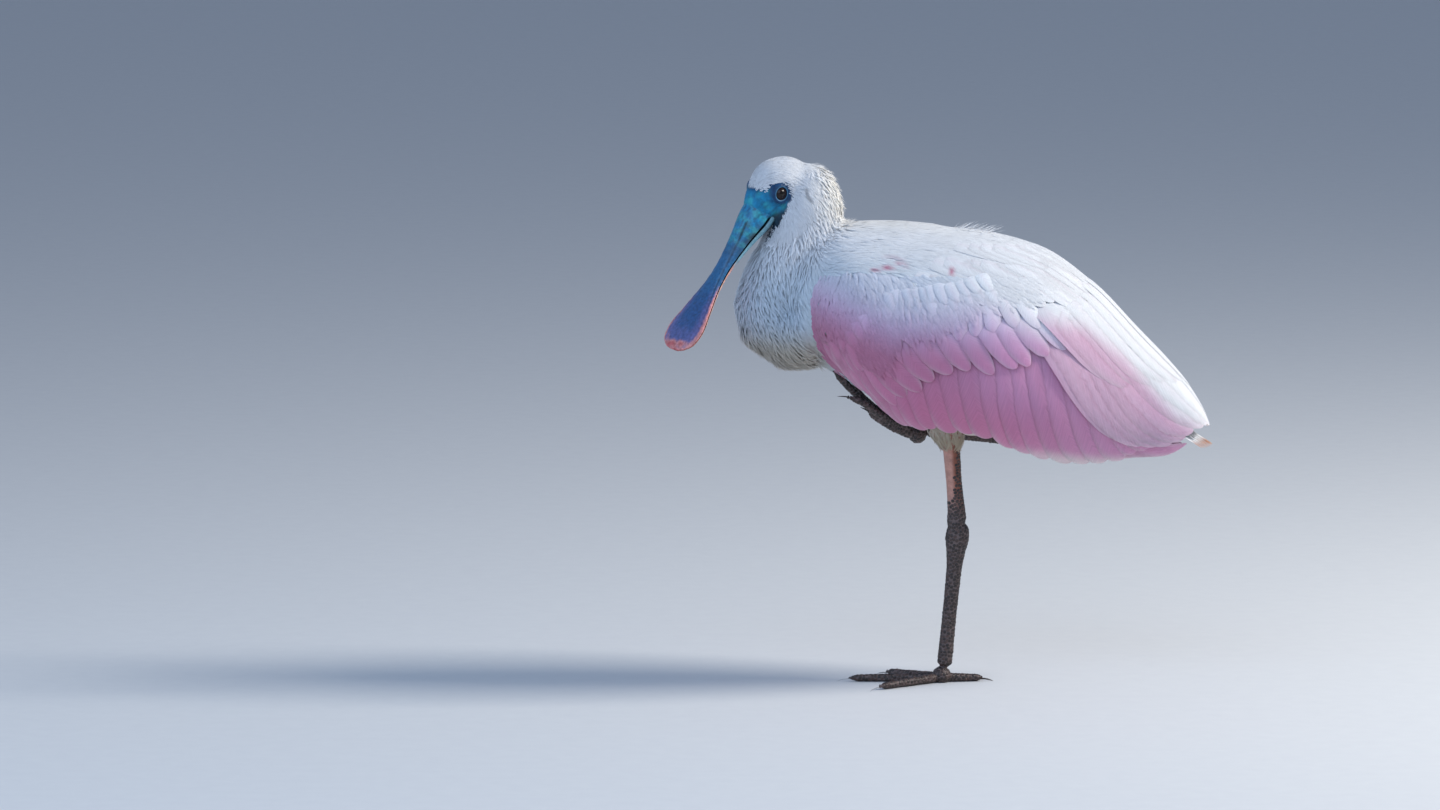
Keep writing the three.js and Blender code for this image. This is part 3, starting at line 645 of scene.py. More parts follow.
def vanes(
    lines, outs, width, outline, height, colour, bake,
    roll=0.0, camber=0.1, half=0.15, columns=3, fray=0.0, cup=0.0,
):
    """Many vanes of one make, in metres. lines and outs are each vane's middle line and the directions
    out of the plumage along it, outline its width along it, height how far it stands over the line,
    bake its place on the unwrap, roll how much its right side rises, camber how much it arches, half its
    half thickness in mm, fray how ragged its edges are and cup how fast its sides bend down with the form
    under it."""
    count, rings, _ = lines.shape
    ahead = np.gradient(lines, axis=1)
    ahead /= np.linalg.norm(ahead, axis=2, keepdims=True) + 1e-12
    right = np.cross(ahead, outs)
    right /= np.linalg.norm(right, axis=2, keepdims=True) + 1e-12
    up = np.cross(right, ahead)
    top = np.linspace(-1, 1, columns)
    across = np.concatenate([top, top[-2:0:-1]])
    face = np.concatenate([np.ones(columns), -np.ones(columns - 2)])
    wide = np.asarray(width)[:, None] * outline
    ragged = 1 - fray * draw.random((count, rings, 2)) * np.linspace(0, 1, rings)[None, :, None] ** 2
    edge = np.where(across < 0, ragged[..., :1], ragged[..., 1:])
    side = wide[..., None] * across * edge
    arch = camber * wide[..., None] * (1 - across**2)
    thick = half * MM * face * np.sqrt(1 - across**2) * np.sqrt(outline)[..., None]
    over = height[..., None] + roll * side + arch + thick - np.asarray(cup)[..., None] * side**2
    points = lines[:, :, None] + right[:, :, None] * side[..., None] + up[:, :, None] * over[..., None]
    ends = [points[:, i].mean(1, keepdims=True) for i in (0, -1)]
    points = np.concatenate([ends[0], points[:, 1:-1].reshape(count, -1, 3), ends[1]], 1)
    way = np.concatenate([[0], np.repeat(np.linspace(0, 1, rings)[1:-1], len(across)), [1]])
    beside = np.concatenate([[0], np.tile(across, rings - 2), [0]])
    quads, fans = faces_of_vane(rings, len(across))
    which = np.repeat(np.arange(count), len(way))
    tint = colour(points.reshape(-1, 3), np.tile(way, count), np.tile(beside, count), which)
    patch = np.stack([beside, way * 2 - 1], -1) * BAKE_PATCH / 2
    return {
        "points": points,
        "quads": quads,
        "fans": fans,
        "vane": np.stack([beside * 0.5 + 0.5, way], -1),
        "bake": bake[:, None] + patch,
        "tint": tint.reshape(count, -1, 3),
        "rim": np.concatenate([[True], np.tile(np.abs(across) > 0.999, rings - 2), [True]]),
    }


def coat_piece(name, batches, material):
    """Joins batches of vanes into one piece, with its colours and its two UV maps."""
    faces, starts, base, corner = [], [], 0, 0
    for batch in batches:
        count, size, _ = batch["points"].shape
        for part in (batch["quads"], batch["fans"]):
            whole = part[None] + base + np.arange(count)[:, None, None] * size
            starts.append(corner + np.arange(count * len(part)) * part.shape[1])
            faces.append(whole.ravel())
            corner += whole.size
        base += count * size
    corners, starts = np.concatenate(faces), np.concatenate(starts)
    points = np.concatenate([batch["points"].reshape(-1, 3) for batch in batches])
    mesh = bpy.data.meshes.new(name)
    mesh.vertices.add(base)
    mesh.loops.add(len(corners))
    mesh.polygons.add(len(starts))
    mesh.vertices.foreach_set("co", points.astype(np.float32).ravel())
    mesh.loops.foreach_set("vertex_index", corners.astype(np.int32))
    mesh.polygons.foreach_set("loop_start", starts.astype(np.int32))
    mesh.update(calc_edges=True)
    smooth(mesh)
    maps = {
        "OFBake": np.concatenate([batch["bake"].reshape(-1, 2) for batch in batches]),
        "vane": np.concatenate([np.tile(batch["vane"], (len(batch["points"]), 1)) for batch in batches]),
    }
    for map_name, values in maps.items():
        layer = mesh.uv_layers.new(name=map_name)
        layer.data.foreach_set("uv", values[corners].astype(np.float32).ravel())
    rim = np.concatenate([np.tile(batch["rim"], len(batch["points"])) for batch in batches])
    ends = np.empty(len(mesh.edges) * 2, np.int32)
    mesh.edges.foreach_get("vertices", ends)
    sharp = mesh.attributes.new("sharp_edge", "BOOLEAN", "EDGE")
    sharp.data.foreach_set("value", rim[ends.reshape(-1, 2)].all(1))
    piece = bpy.data.objects.new(name, mesh)
    bpy.context.scene.collection.objects.link(piece)
    paint(piece, np.concatenate([batch["tint"].reshape(-1, 3) for batch in batches]))
    mesh.materials.append(material)
    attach(piece, "root")
    return piece


def feather_finish(name, barbs, grain, relief):
    """Feather keratin: barbs run out and forwards from the shaft on both sides, and give the vane a
    soft sheen and a fine grain. barbs is how many grains a vane's length has, a few times fewer and
    coarser than the real barbs, so that they show. Each vane's grain is moved by its place."""
    material, tree, shader = finish_of(name, Roughness=0.62, Sheen_Weight=0.3, Sheen_Roughness=0.45)
    shader.inputs["Subsurface Weight"].default_value = 0.35
    shader.inputs["Subsurface Radius"].default_value = (1.0, 0.9, 0.85)
    shader.inputs["Subsurface Scale"].default_value = 0.003
    shader.inputs["Specular IOR Level"].default_value = 0.25
    uv = add_node(tree, "ShaderNodeUVMap", uv_map="vane")
    split = add_node(tree, "ShaderNodeSeparateXYZ", {"Vector": uv.outputs["UV"]})
    side = add_node(tree, "ShaderNodeMath", {0: split.outputs["X"], 1: 0.5}, operation="SUBTRACT")
    out = add_node(tree, "ShaderNodeMath", {0: side.outputs[0]}, operation="ABSOLUTE")
    forwards = {0: out.outputs[0], 1: -0.3, 2: split.outputs["Y"]}
    slant = add_node(tree, "ShaderNodeMath", forwards, operation="MULTIPLY_ADD")
    barb = add_node(tree, "ShaderNodeCombineXYZ", {"X": side.outputs[0], "Y": slant.outputs[0]})
    stretch = add_node(tree, "ShaderNodeMapping", {"Vector": barb.outputs[0], "Scale": (1.5, barbs, 1)})
    place = add_node(tree, "ShaderNodeTexCoord").outputs["Object"]
    apart = add_node(tree, "ShaderNodeVectorMath", {0: place, "Scale": 40.0}, operation="SCALE")
    both = {0: stretch.outputs[0], 1: apart.outputs[0]}
    spread = add_node(tree, "ShaderNodeVectorMath", both, operation="ADD")
    fine = {"Vector": spread.outputs[0], "Scale": 1.0, "Detail": 3.0}
    grains = add_node(tree, "ShaderNodeTexNoise", fine)
    flecked(tree, shader, grains, 0.3, 0.7, 1 - grain, 1.0)
    ridges = {"Height": grains.outputs["Fac"], "Strength": relief, "Distance": 0.0004}
    bump = add_node(tree, "ShaderNodeBump", ridges)
    tree.links.new(bump.outputs[0], shader.inputs["Normal"])
    return material


# The wings are folded over the back and flanks. Their long feathers overlap like tiles, each tier's tips
# over the roots of the tier below, and each feather over the one in front of it. They are pink, paler and
# more lilac towards the back and the bend of the wing, and deepest along the lower edge.
PINK = srgb("#d995bb")
LILAC = srgb("#dab6d9")
PALE_LILAC = srgb("#efe6f2")
DEEP_PINK = srgb("#cb7298")
EDGE_CREAM = srgb("#efe2dc")
# Each tier, from the lowest up: how many feathers, half a feather's width and its height over the
# plumage's form, at its middle and tip, in mm; its outline; and the curves that roots and tips are
# spread along from front to back, as [x, degrees down from the top].
WING_TIERS = {
    "primaries": (
        9, 8.5, -4.6, -4.6, "long",
        [(52, 114), (94, 99), (134, 84)],
        [(121, 147), (160, 144), (190, 147), (214, 158)],
    ),
    "secondaries": (
        17, 11.5, -2.4, -2.8, "long",
        [(-72, 128), (-46, 113), (-20, 96), (17, 82), (51, 75), (85, 67), (119, 57), (134, 50)],
        [
            (-48, 169), (-29, 159), (-8, 146), (25, 141), (58, 148),
            (94, 155), (128, 153), (158, 143), (184, 129),
        ],
    ),
    "greater_coverts": (
        15, 10.5, -1.0, -1.5, "covert",
        [(-93, 120), (-73, 105), (-51, 89), (0, 69), (51, 60), (93, 50)],
        [(-72, 168), (-49, 147), (-24, 121), (9, 103), (51, 97), (90, 84), (126, 64)],
    ),
    "median_coverts": (
        17, 8.5, -0.2, -0.6, "covert",
        [(-99, 116), (-84, 99), (-68, 81), (-17, 62), (30, 54), (62, 48)],
        [(-86, 160), (-72, 136), (-56, 110), (-17, 89), (30, 82), (90, 68)],
    ),
    "lesser_coverts": (
        17, 7, 0.4, 0.0, "round",
        [(-94, 104), (-70, 76), (-42, 64), (0, 56), (40, 48)],
        [(-88, 148), (-58, 100), (-34, 82), (9, 75), (60, 62)],
    ),
    "upper_coverts": (
        12, 6.2, 0.9, 0.5, "round",
        [(-50, 58), (-28, 53), (0, 48), (30, 42)],
        [(-40, 78), (-22, 72), (9, 67), (48, 58)],
    ),
}
# How high a root lies over the form, in mm.
ROOT_DEPTH = -7.0
VANE_RINGS = 22
VANE_COLUMNS = 9
# Up to where the wings' form is open enough behind to look for it beside a feather, in mm.
WINGS_END = 226
# Where the rings lie along a long vane: closer towards its tip.
VANE_STEPS = 1 - (1 - np.linspace(0, 1, VANE_RINGS)) ** 1.6
# A vane's outline: where its tip begins to close and how blunt it closes.
OUTLINES = {"long": (0.72, 2.4), "covert": (0.5, 2.4), "round": (0.35, 2.2)}


def wing_markings(points):
    """The wing feathers' colour at places on the wings."""
    x, z = points[:, 0] / MM, points[:, 2] / MM
    low = z - np.interp(x, [-105, -40, 40, 120, 230], [262, 238, 224, 211, 205])
    rise = low - np.interp(x, [-40, 50, 110, 160], [0, 16, 16, 0])
    colour = mix(all_over(PINK, points), MAUVE, fade(x, 70, -20))
    colour = mix(colour, LILAC, fade(rise, 42, 84))
    colour = mix(colour, PALE_LILAC, 0.85 * fade(rise, 62, 106))
    colour = mix(colour, DEEP_PINK, 0.8 * fade(low, 45, 0) * fade(x, 150, 40))
    colour = mix(colour, EDGE_CREAM, 0.7 * fade(low, -7, -19) * fade(x, 40, 110))
    back = z - np.interp(x, [-105, -40, 20, 90, 150, 200, 230], [420, 372, 352, 318, 268, 236, 226])
    colour = mix(colour, WHITE, fade(back, -28, 8))
    colour = mix(colour, SHADED_WHITE, 0.55 * fade(low, 70, 110) * fade(x, 60, -20))
    return colour


def curve_points(points, t):
    """Places along a smooth curve through points, for t from 0 to 1."""
    points = np.array(points, float)
    knots = np.linspace(0, 1, len(points))
    return np.stack([eased(knots, points[:, i])(t) for i in range(points.shape[1])], -1)


def outline_of(kind, t):
    """A vane's width along it: a narrow root, full sides and a closed tip."""
    shoulder, power = OUTLINES[kind]
    base = 0.35 + 0.65 * np.clip(t / 0.3, 0, 1) ** 0.8
    return base * np.sqrt(1 - np.clip((t - shoulder) / (1 - shoulder), 0, 1) ** power)


def wing_lines(root, tip, steps, bend):
    """Middle lines over the left wing's form, and the directions out of it. bend draws them out to the
    rear towards their tips."""
    drift = np.stack([steps + bend * steps * (steps - 1), steps - 0.5 * bend * steps * (steps - 1)], -1)
    at = root[:, None] + (tip - root)[:, None] * drift
    x, angle, step = at[..., 0], np.radians(at[..., 1]), 0.01
    ahead = wing_surface(x + 0.5, angle) - wing_surface(x - 0.5, angle)
    round_it = wing_surface(x, angle + step) - wing_surface(x, angle - step)
    outs = np.cross(round_it, ahead)
    return wing_surface(x, angle) * MM, outs / (np.linalg.norm(outs, axis=2, keepdims=True) + 1e-12)


def falls_away(lines, outs, reach):
    """How fast the wing's form falls away on both sides of middle lines: the fall over the distance
    squared, from a reach in mm."""
    aside = np.cross(np.gradient(lines, axis=1), outs)
    aside /= np.linalg.norm(aside, axis=2, keepdims=True) + 1e-12
    fall = np.zeros(lines.shape[:2])
    for way in (-reach, reach):
        flat = (lines + aside * way * MM).reshape(-1, 3)
        on = wing_surface(np.minimum(flat[:, 0] / MM, WINGS_END), np.radians(wing_angle(flat))) * MM
        on[:, 1] *= np.where(flat[:, 1] > 0, -1, 1)
        off = on.reshape(lines.shape) - lines
        drop = -(off * outs).sum(2)
        fall += drop / np.maximum((off**2).sum(2) - drop**2, MM**2) / 2
    return np.clip(fall, 0, 30)


def wing_unwrap(x, angle):
    """A wing's place on the unwrap: along it and round it."""
    return np.stack([0.04 + 0.9 * (x + 110) / 345, 0.04 + 0.28 * angle / 180], -1)


def wing_tier(
    side, count, width, lift, tip_lift, kind, roots, tips,
    bend=0.35, tilt=0.06, arch=0.07, half=0.15, stray=0.12, markings=wing_markings,
):
    """A tier of feathers on the left or the right wing, from front to back. tilt is how much each one's
    rear edge lies lower than its front edge, stray how unevenly high they lie in mm."""
    order = (np.arange(count) + 0.5) / count
    root = curve_points(roots, order) + draw.normal(0, (1.2, 0.8), (count, 2))
    tip = curve_points(tips, order) + draw.normal(0, (1.8, 1.0), (count, 2))
    lines, outs = wing_lines(root, tip, VANE_STEPS, bend)
    mirror = np.array([1, -side, 1])
    rise, droop = fade(VANE_STEPS, 0, 0.45)[:, 0], fade(VANE_STEPS, 0.5, 1)[:, 0]
    height = ROOT_DEPTH + (lift - ROOT_DEPTH) * rise + (tip_lift - lift) * droop
    height = np.tile(height, (count, 1)) + draw.normal(0, stray, (count, 1))
    shade = draw.normal(0, 0.03, (count, 1))

    def colour(points, way, beside, which):
        base = markings(points) * (1 + shade[which])
        pale = mix(base, np.ones(3) * 0.86, 0.35)
        deep = base * (0.96, 0.84, 0.88)
        base = mix(base, deep, fade(np.abs(beside), 0.5, 0.0) * 0.4)
        return mix(base, pale, fade(np.abs(beside), 0.6, 1.0) * fade(way, 0.3, 0.8) * 0.8)

    return vanes(
        lines * mirror,
        outs * mirror,
        width * MM * (1 + draw.normal(0, 0.05, count)),
        np.tile(outline_of(kind, VANE_STEPS), (count, 1)),
        height * MM,
        colour,
        wing_unwrap(*root.T) + (0, 0.3 * (side > 0)),
        roll=-tilt * side,
        camber=arch,
        half=half,
        cup=falls_away(lines, outs, width),
        columns=VANE_COLUMNS,
        fray=0.1,
    )


wing_keratin = feather_finish("wing_feather_keratin", 70, 0.13, 0.3)
for name, side in (("left", -1), ("right", 1)):
    tiers = [wing_tier(side, *tier) for tier in WING_TIERS.values()]
    wing = coat_piece(f"wing_{name}_feathers", tiers, wing_keratin)
    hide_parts(f"wing_{name}")


# The small feathers of head, neck, body, shoulders and thighs are soft white keratin and lie like shingles
# along the bird. They are scattered over the guide, and each follows the lie of the coat from its root.
# How far from the head's middle the head's own feathers end, in mm.
HEAD_ENDS = 44
# How near the wings' form a place of the guide has to be to lie on them, in metres.
WING_REACH = 2.6 * MM
# A small feather's outline: where its tip begins to close and how blunt it closes.
SMALL_OUTLINE = (0.35, 2.0)
# The lie of the body's feathers: [place on the left side in mm, way that they point there].
BODY_LIE = [
    ((-160, -12, 436), (0.5, 0.25, 0.8)),
    ((-146, -4, 449), (0.9, 0.1, 0.3)),
    ((-125, 0, 444), (0.9, 0, -0.4)),
    ((-100, -3, 430), (0.5, 0, -0.85)),
    ((-85, -3, 410), (0.15, 0, -1)),
    ((-82, 0, 398), (0.7, 0, -0.5)),
    ((-128, -26, 425), (0.85, -0.1, -0.35)),
    ((-120, -28, 412), (0.6, 0, -0.8)),
    ((-128, -24, 403), (0.45, 0, -0.9)),
    ((-150, -10, 380), (-0.1, 0, -1)),
    ((-160, 0, 345), (-0.1, 0, -1)),
    ((-170, 0, 325), (0.2, 0, -1)),
    ((-160, 0, 300), (0.6, 0, -0.8)),
    ((-140, 0, 280), (0.9, 0, -0.45)),
    ((-130, -26, 380), (0, 0, -1)),
    ((-125, -30, 345), (0.15, 0, -1)),
    ((-130, -32, 310), (0.4, 0, -0.9)),
    ((-110, -38, 290), (0.8, 0, -0.6)),
    ((-100, 0, 270), (0.9, 0, -0.4)),
    ((-40, 0, 235), (1, 0, -0.1)),
    ((20, 0, 212), (1, 0, 0.05)),
    ((90, 0, 216), (1, 0, 0.15)),
    ((135, 0, 240), (0.9, 0, 0.35)),
    ((-60, 0, 396), (1, 0, 0)),
    ((0, 0, 393), (1, 0, -0.08)),
    ((60, 0, 372), (0.9, 0, -0.35)),
    ((110, 0, 330), (0.7, 0, -0.7)),
    ((-110, -45, 330), (0.75, 0, -0.6)),
    ((-80, -50, 365), (0.95, 0, -0.3)),
    ((-40, -66, 350), (0.9, 0, -0.4)),
    ((40, -60, 350), (0.85, 0, -0.5)),
    ((-60, -55, 280), (0.8, 0, -0.6)),
]
# The lie of the small feathers on the wing's bend and shoulder.
WING_LIE = [
    ((-106, -40, 345), (0.3, -0.4, -0.9)),
    ((-100, -50, 300), (0.35, 0, -0.93)),
    ((-70, -60, 370), (0.3, -0.5, -0.8)),
    ((-60, -75, 330), (0.35, 0, -0.93)),
    ((-80, -60, 265), (0.7, 0, -0.7)),
    ((0, -70, 360), (0.6, -0.4, -0.7)),
    ((0, -85, 320), (0.45, 0, -0.9)),
    ((60, -70, 345), (0.75, -0.2, -0.65)),
]
# Where the back's white feathers end and the wing's begin: [x, degrees down from the top].
WING_EDGE = [(-112, 44), (-92, 53), (-75, 53), (-38, 51), (0, 51), (40, 47), (80, 40), (120, 26), (150, 6)]
# Where the long wing feathers' tips end in front: under them the belly's feathers show.
WING_TIPS = [(-106, 150), (-92, 162), (-78, 166), (-60, 169), (-40, 168), (-8, 154), (25, 150)]
# The fold between the shaggy neck and the smooth shoulder: [height, x].
NECK_FOLD = [(270, -118), (310, -124), (343, -121), (372, -104), (398, -82), (420, -70)]


def lie_of(controls):
    """The way a coat lies, as a function of places: the mean of its controls, by nearness."""
    spots = np.array([c[0] for c in controls], float)
    ways = np.array([c[1] for c in controls], float)

    def lie(points):
        local = points / MM * (1, -1, 1)
        right = local[:, 1] < 0
        local[:, 1] = -np.abs(local[:, 1])
        gap = ((local[:, None] - spots) ** 2).sum(-1)
        way = (1 / (gap + 30) ** 2) @ ways
        way[:, 1] *= np.where(right, 1, -1)
        return way

    return lie


def laid_on(form, points):
    """The nearest places on a form, and the directions out of it there."""
    found = [form["tree"].find_nearest(p) for p in points.tolist()]
    places = np.array([f[0] for f in found])
    corners = form["faces"][[f[2] for f in found]]
    near = np.linalg.norm(form["places"][corners] - places[:, None], axis=2)
    weight = 1 / (near + 1e-5)
    out = (form["outs"][corners] * weight[:, :, None]).sum(1)
    return places, out / np.linalg.norm(out, axis=1, keepdims=True)


def on_wing(points):
    """Which places of the guide are the wing's own plumage, not the back's or the breast's."""
    near = np.array([wing_tree.find_nearest(p, WING_REACH)[0] is not None for p in points.tolist()])
    edge = np.interp(points[:, 0] / MM, *zip(*WING_EDGE))
    angle = wing_angle(points)
    under = (angle > np.interp(points[:, 0] / MM, *zip(*WING_TIPS)) + 3) & (points[:, 0] < 0.02)
    return near & (angle > edge) & ~under


def tree_of(places):
    """A tree that finds the nearest of many places."""
    tree = KDTree(len(places))
    for i, place in enumerate(places.tolist()):
        tree.insert(place, i)
    tree.balance()
    return tree


def scattered(spacing, wanted, form=guide_form):
    """Places on a form about a spacing in mm apart, where wanted holds, and the ways out there."""
    corners = form["places"][form["faces"]]
    sides = np.concatenate([corners[:, [0, 1, 2]], corners[:, [0, 2, 3]]])
    area = np.linalg.norm(np.cross(sides[:, 1] - sides[:, 0], sides[:, 2] - sides[:, 0]), axis=1)
    area = area * wanted(sides.mean(1))
    count = int(area.sum() / (spacing * MM) ** 2 * 1.6)
    chosen = sides[draw.choice(len(area), count, p=area / area.sum())]
    u, v = draw.random((2, count, 1))
    u, v = np.where(u + v > 1, 1 - u, u), np.where(u + v > 1, 1 - v, v)
    places = chosen[:, 0] + (chosen[:, 1] - chosen[:, 0]) * u + (chosen[:, 2] - chosen[:, 0]) * v
    tree = tree_of(places)
    free = np.ones(count, bool)
    kept = []
    for i, place in enumerate(places.tolist()):
        if free[i]:
            kept.append(i)
            for _, j, _ in tree.find_range(place, spacing * MM):
                free[j] = False
    return laid_on(form, places[kept])


def skin_unwrap(points):
    """A place's spot on the unwrap of the skin: head and neck by height, the body along its length."""
    x, y, z = (points / MM).T
    turn = np.arctan2(y, -x - 125) / (2 * np.pi) + 0.5
    upright = np.stack([0.66 + 0.3 * turn, 0.04 + 0.9 * (z - 260) / 200], -1)
    around = np.arctan2(y, z - 305) / (2 * np.pi) + 0.5
    lengthwise = np.stack([0.04 + 0.58 * (x + 180) / 360, 0.66 + 0.3 * around], -1)
    return np.where((x < -84)[:, None], upright, lengthwise)


def coat(
    places, outs, lie, length, width, lift, colour,
    form=guide_form, rings=5, spread=0.12, stray=0.25, half=0.12, root_shade=0.0,
):
    """Small feathers from roots on the guide. length, width and lift are in mm, one for all or one for
    each: the whole length, half the width, and the height of root, middle and tip over the guide. spread
    is how far they turn from the lie, stray how unevenly high their tips stand, and root_shade how much
    painted shade darkens the roots, where they show in the gaps between feathers."""
    count = len(places)
    size = 1 + draw.normal(0, 0.12, count)
    stride = np.broadcast_to(length, count)[:, None] * size[:, None] * MM / (rings - 1)
    yaw = draw.normal(0, spread, (count, 1))
    line, ups = [places], [outs]
    at, up = places, outs
    for _ in range(rings - 1):
        way = lie(at)
        way -= up * (way * up).sum(1, keepdims=True)
        way /= np.linalg.norm(way, axis=1, keepdims=True) + 1e-9
        way = way * np.cos(yaw) + np.cross(up, way) * np.sin(yaw)
        at, up = laid_on(form, at + way * stride)
        line.append(at)
        ups.append(up)
    t = np.linspace(0, 1, rings)
    shoulder, power = SMALL_OUTLINE
    closing = np.sqrt(1 - np.clip((t - shoulder) / (1 - shoulder), 0, 1) ** power)
    outline = (0.3 + 0.7 * np.clip(t / 0.35, 0, 1)) * closing
    root, middle, tip = [np.broadcast_to(v, count)[:, None] for v in lift]
    height = root + (middle - root) * np.clip(t / 0.5, 0, 1) + (tip - middle) * np.clip(t * 2 - 1, 0, 1)
    height = height + draw.normal(0, stray, (count, 1)) * t
    shade = draw.normal(0, 0.035, (count, 1))

    def tint(points, way, beside, which):
        # Painted shade darkens each feather towards its root, where the roots show between feathers.
        lit = 1 - np.broadcast_to(root_shade, count)[which, None] * fade(way, 0.6, 0.2)
        return np.clip(colour(points) * (1 + shade[which]) * lit, 0, 1)

    return vanes(
        np.stack(line, 1),
        np.stack(ups, 1),
        np.broadcast_to(width, count) * size * MM,
        np.tile(outline, (count, 1)),
        height * MM,
        tint,
        skin_unwrap(places),
        half=half,
        camber=0.15,
        fray=0.2,
    )


body_lie, wing_lie = lie_of(BODY_LIE), lie_of(WING_LIE)


def on_head(points):
    """The head, up to the bare face."""
    return (beside_head(points) < HEAD_ENDS) & (bareness(points) < 0.7)


def on_neck(points):
    """The shaggy neck and the front of the breast, before the fold."""
    fold = np.interp(points[:, 2] / MM, *zip(*NECK_FOLD))
    bare = (bareness(points) > 0.7) & (beside_head(points) < 56)
    return (points[:, 0] / MM < fold) & (beside_head(points) >= HEAD_ENDS) & ~bare & ~on_wing(points)


def on_body(points):
    """Behind the neck's fold, but not on the wings, on the ledge under them or on the guide's blunt end."""
    x, y, z = (points / MM).T
    fold = np.interp(z, *zip(*NECK_FOLD))
    ledge = (np.abs(z - np.interp(x, *zip(*WINGS_HELD_BY))) < 6) & (np.abs(y) > 38) & (x > -60)
    return (x >= fold) & (beside_head(points) >= HEAD_ENDS) & ~on_wing(points) & ~ledge & (x <= 140)


def on_thigh(points):
    """The feathered top of both legs."""
    x, y, z = (points / MM).T
    return np.where(y < 0, (z > 210) & (np.abs(x - 4) < 16), (z > 236) & (x > 30))


def thigh_markings(points):
    """Buff above, and darker at the lower end with painted shade."""
    z = points[:, 2] / MM
    return mix(mix(all_over(WHITE, points), BUFF, 0.7), BUFF * 0.62, fade(z, 230, 210))


# Small feathers are soft and loose, so their barbs are drawn as broad soft grains, nine to a feather.
body_keratin = feather_finish("body_feather_keratin", 9, 0.10, 0.3)

# The head's feathers are short and close, and finest beside the bare face.
places, outs = scattered(1.0, on_head)
away = fade(-bareness(places), 0, 14)[:, 0]
head_coat = coat(
    places, outs, body_lie, 3.4 + 5 * away, 0.5 + 0.25 * away, (-0.7, 0.0, 0.2), markings,
    spread=0.1, stray=0.12, half=0.05,
)
head_feathers = coat_piece("head_feathers", [head_coat], body_keratin)

# The neck's are narrow and shaggy, longest on the throat and low on the breast, with painted shade
# at their roots, where it shows in the gaps between them.
places, outs = scattered(1.55, on_neck)
shag = fade(places[:, 0] / MM, -100, -125)[:, 0] + 0.6 * fade(places[:, 2] / MM, 315, 290)[:, 0]
root_shade = 0.08 + 0.34 * fade(places[:, 2] / MM, 408, 375)[:, 0]
neck_coat = coat(
    places, outs, body_lie, 12 + 3 * shag, 0.8, (-1.6, 0.2, 0.7 + 1.5 * shag), markings,
    rings=6, spread=0.18, stray=0.55, half=0.06, root_shade=root_shade,
)
neck_feathers = coat_piece("neck_feathers", [neck_coat], body_keratin)

# The body's are broad and smooth, larger along the flanks and the back.
places, outs = scattered(2.0, on_body)
flank = fade(places[:, 0] / MM, -70, 20)[:, 0]
body_coat = coat(
    places, outs, body_lie, 17 + 6 * flank, 1.5 + 0.8 * flank, (-1.1, -0.1, 0.25), markings,
    stray=0.08, spread=0.07, half=0.05,
)
body_feathers = coat_piece("body_feathers", [body_coat], body_keratin)

# The shoulder's small coverts cover the bend of the wing. Behind it they stand in soft upright pleats:
# their spacing, and their middle (x, z), in mm.
PLEAT = 5.6
PLEATS_AT = (-38, 343)
places, outs = scattered(1.9, on_wing)
x, angle = places[:, 0] / MM, wing_angle(places)
limit = np.interp(x, [-105, -90, -76, -58, -38, 9, 60], [168, 160, 148, 118, 86, 70, 55])
small = (angle < limit + draw.normal(0, 3, len(x))) & (x < 70)
places, outs, x = places[small], outs[small], x[small]
grow = fade(x, -100, -20)[:, 0]
pleat = np.cos(x / PLEAT * 2 * np.pi) * np.exp(-(((x - PLEATS_AT[0]) / 24) ** 2))
pleat = pleat * np.exp(-(((places[:, 2] / MM - PLEATS_AT[1]) / 14) ** 2))
lift = (-1.2, 0.5 + 0.9 * pleat, 1.0 + 0.9 * pleat)
wing_coat = coat(
    places, outs, wing_lie, 12 + 6 * grow, 1.9 + 0.6 * grow, lift, wing_markings,
    stray=0.08, spread=0.07, half=0.05,
)
shoulder_feathers = coat_piece("shoulder_feathers", [wing_coat], body_keratin)


# The thighs' feathers hang down over the bare upper legs.
def down_lie(points):
    """Straight down, a little to the rear."""
    return np.tile((0.1, 0.0, -1.0), (len(points), 1))


places, outs = scattered(1.5, on_thigh, leg_form)
thigh_coat = coat(
    places, outs, down_lie, 11, 0.9, (-1.0, 0.4, 1.2), thigh_markings, form=leg_form, spread=0.3, stray=0.6
)
thigh_feathers = coat_piece("thigh_feathers", [thigh_coat], body_keratin)


# Loose soft feathers stand up from the middle of the back, the nape and the breast's lower edge.
def loose(spacing, wanted, length, width, lift, spread):
    """Feathers that stand out of the coat where wanted holds."""
    places, outs = scattered(spacing, wanted)
    return coat(
        places, outs, body_lie, length, width, lift, markings,
        rings=6, spread=spread, stray=0.9, half=0.04,
    )


def on_back_tuft(points):
    x, y, z = (points / MM).T
    return (np.abs(x - 24) < 15) & (np.abs(y) < 13) & (z > 380)


def on_nape(points):
    x, y, z = (points / MM).T
    return (x > -112) & (x < -80) & (z > 388) & (np.abs(y) < 18) & (beside_head(points) > 24)


def on_breast_edge(points):
    x, y, z = (points / MM).T
    return (x > -168) & (x < -108) & (z < 306) & (np.abs(y) < 34)


loose_feathers = coat_piece(
    "loose_feathers",
    [
        loose(3.4, on_back_tuft, 15, 0.55, (-0.5, 2.5, 7.5), 0.45),
        loose(2.0, on_nape, 9, 0.5, (-0.5, 1.0, 2.8), 0.3),
        loose(2.6, on_breast_edge, 14, 0.7, (-0.5, 1.4, 3.6), 0.3),
    ],
    body_keratin,
)


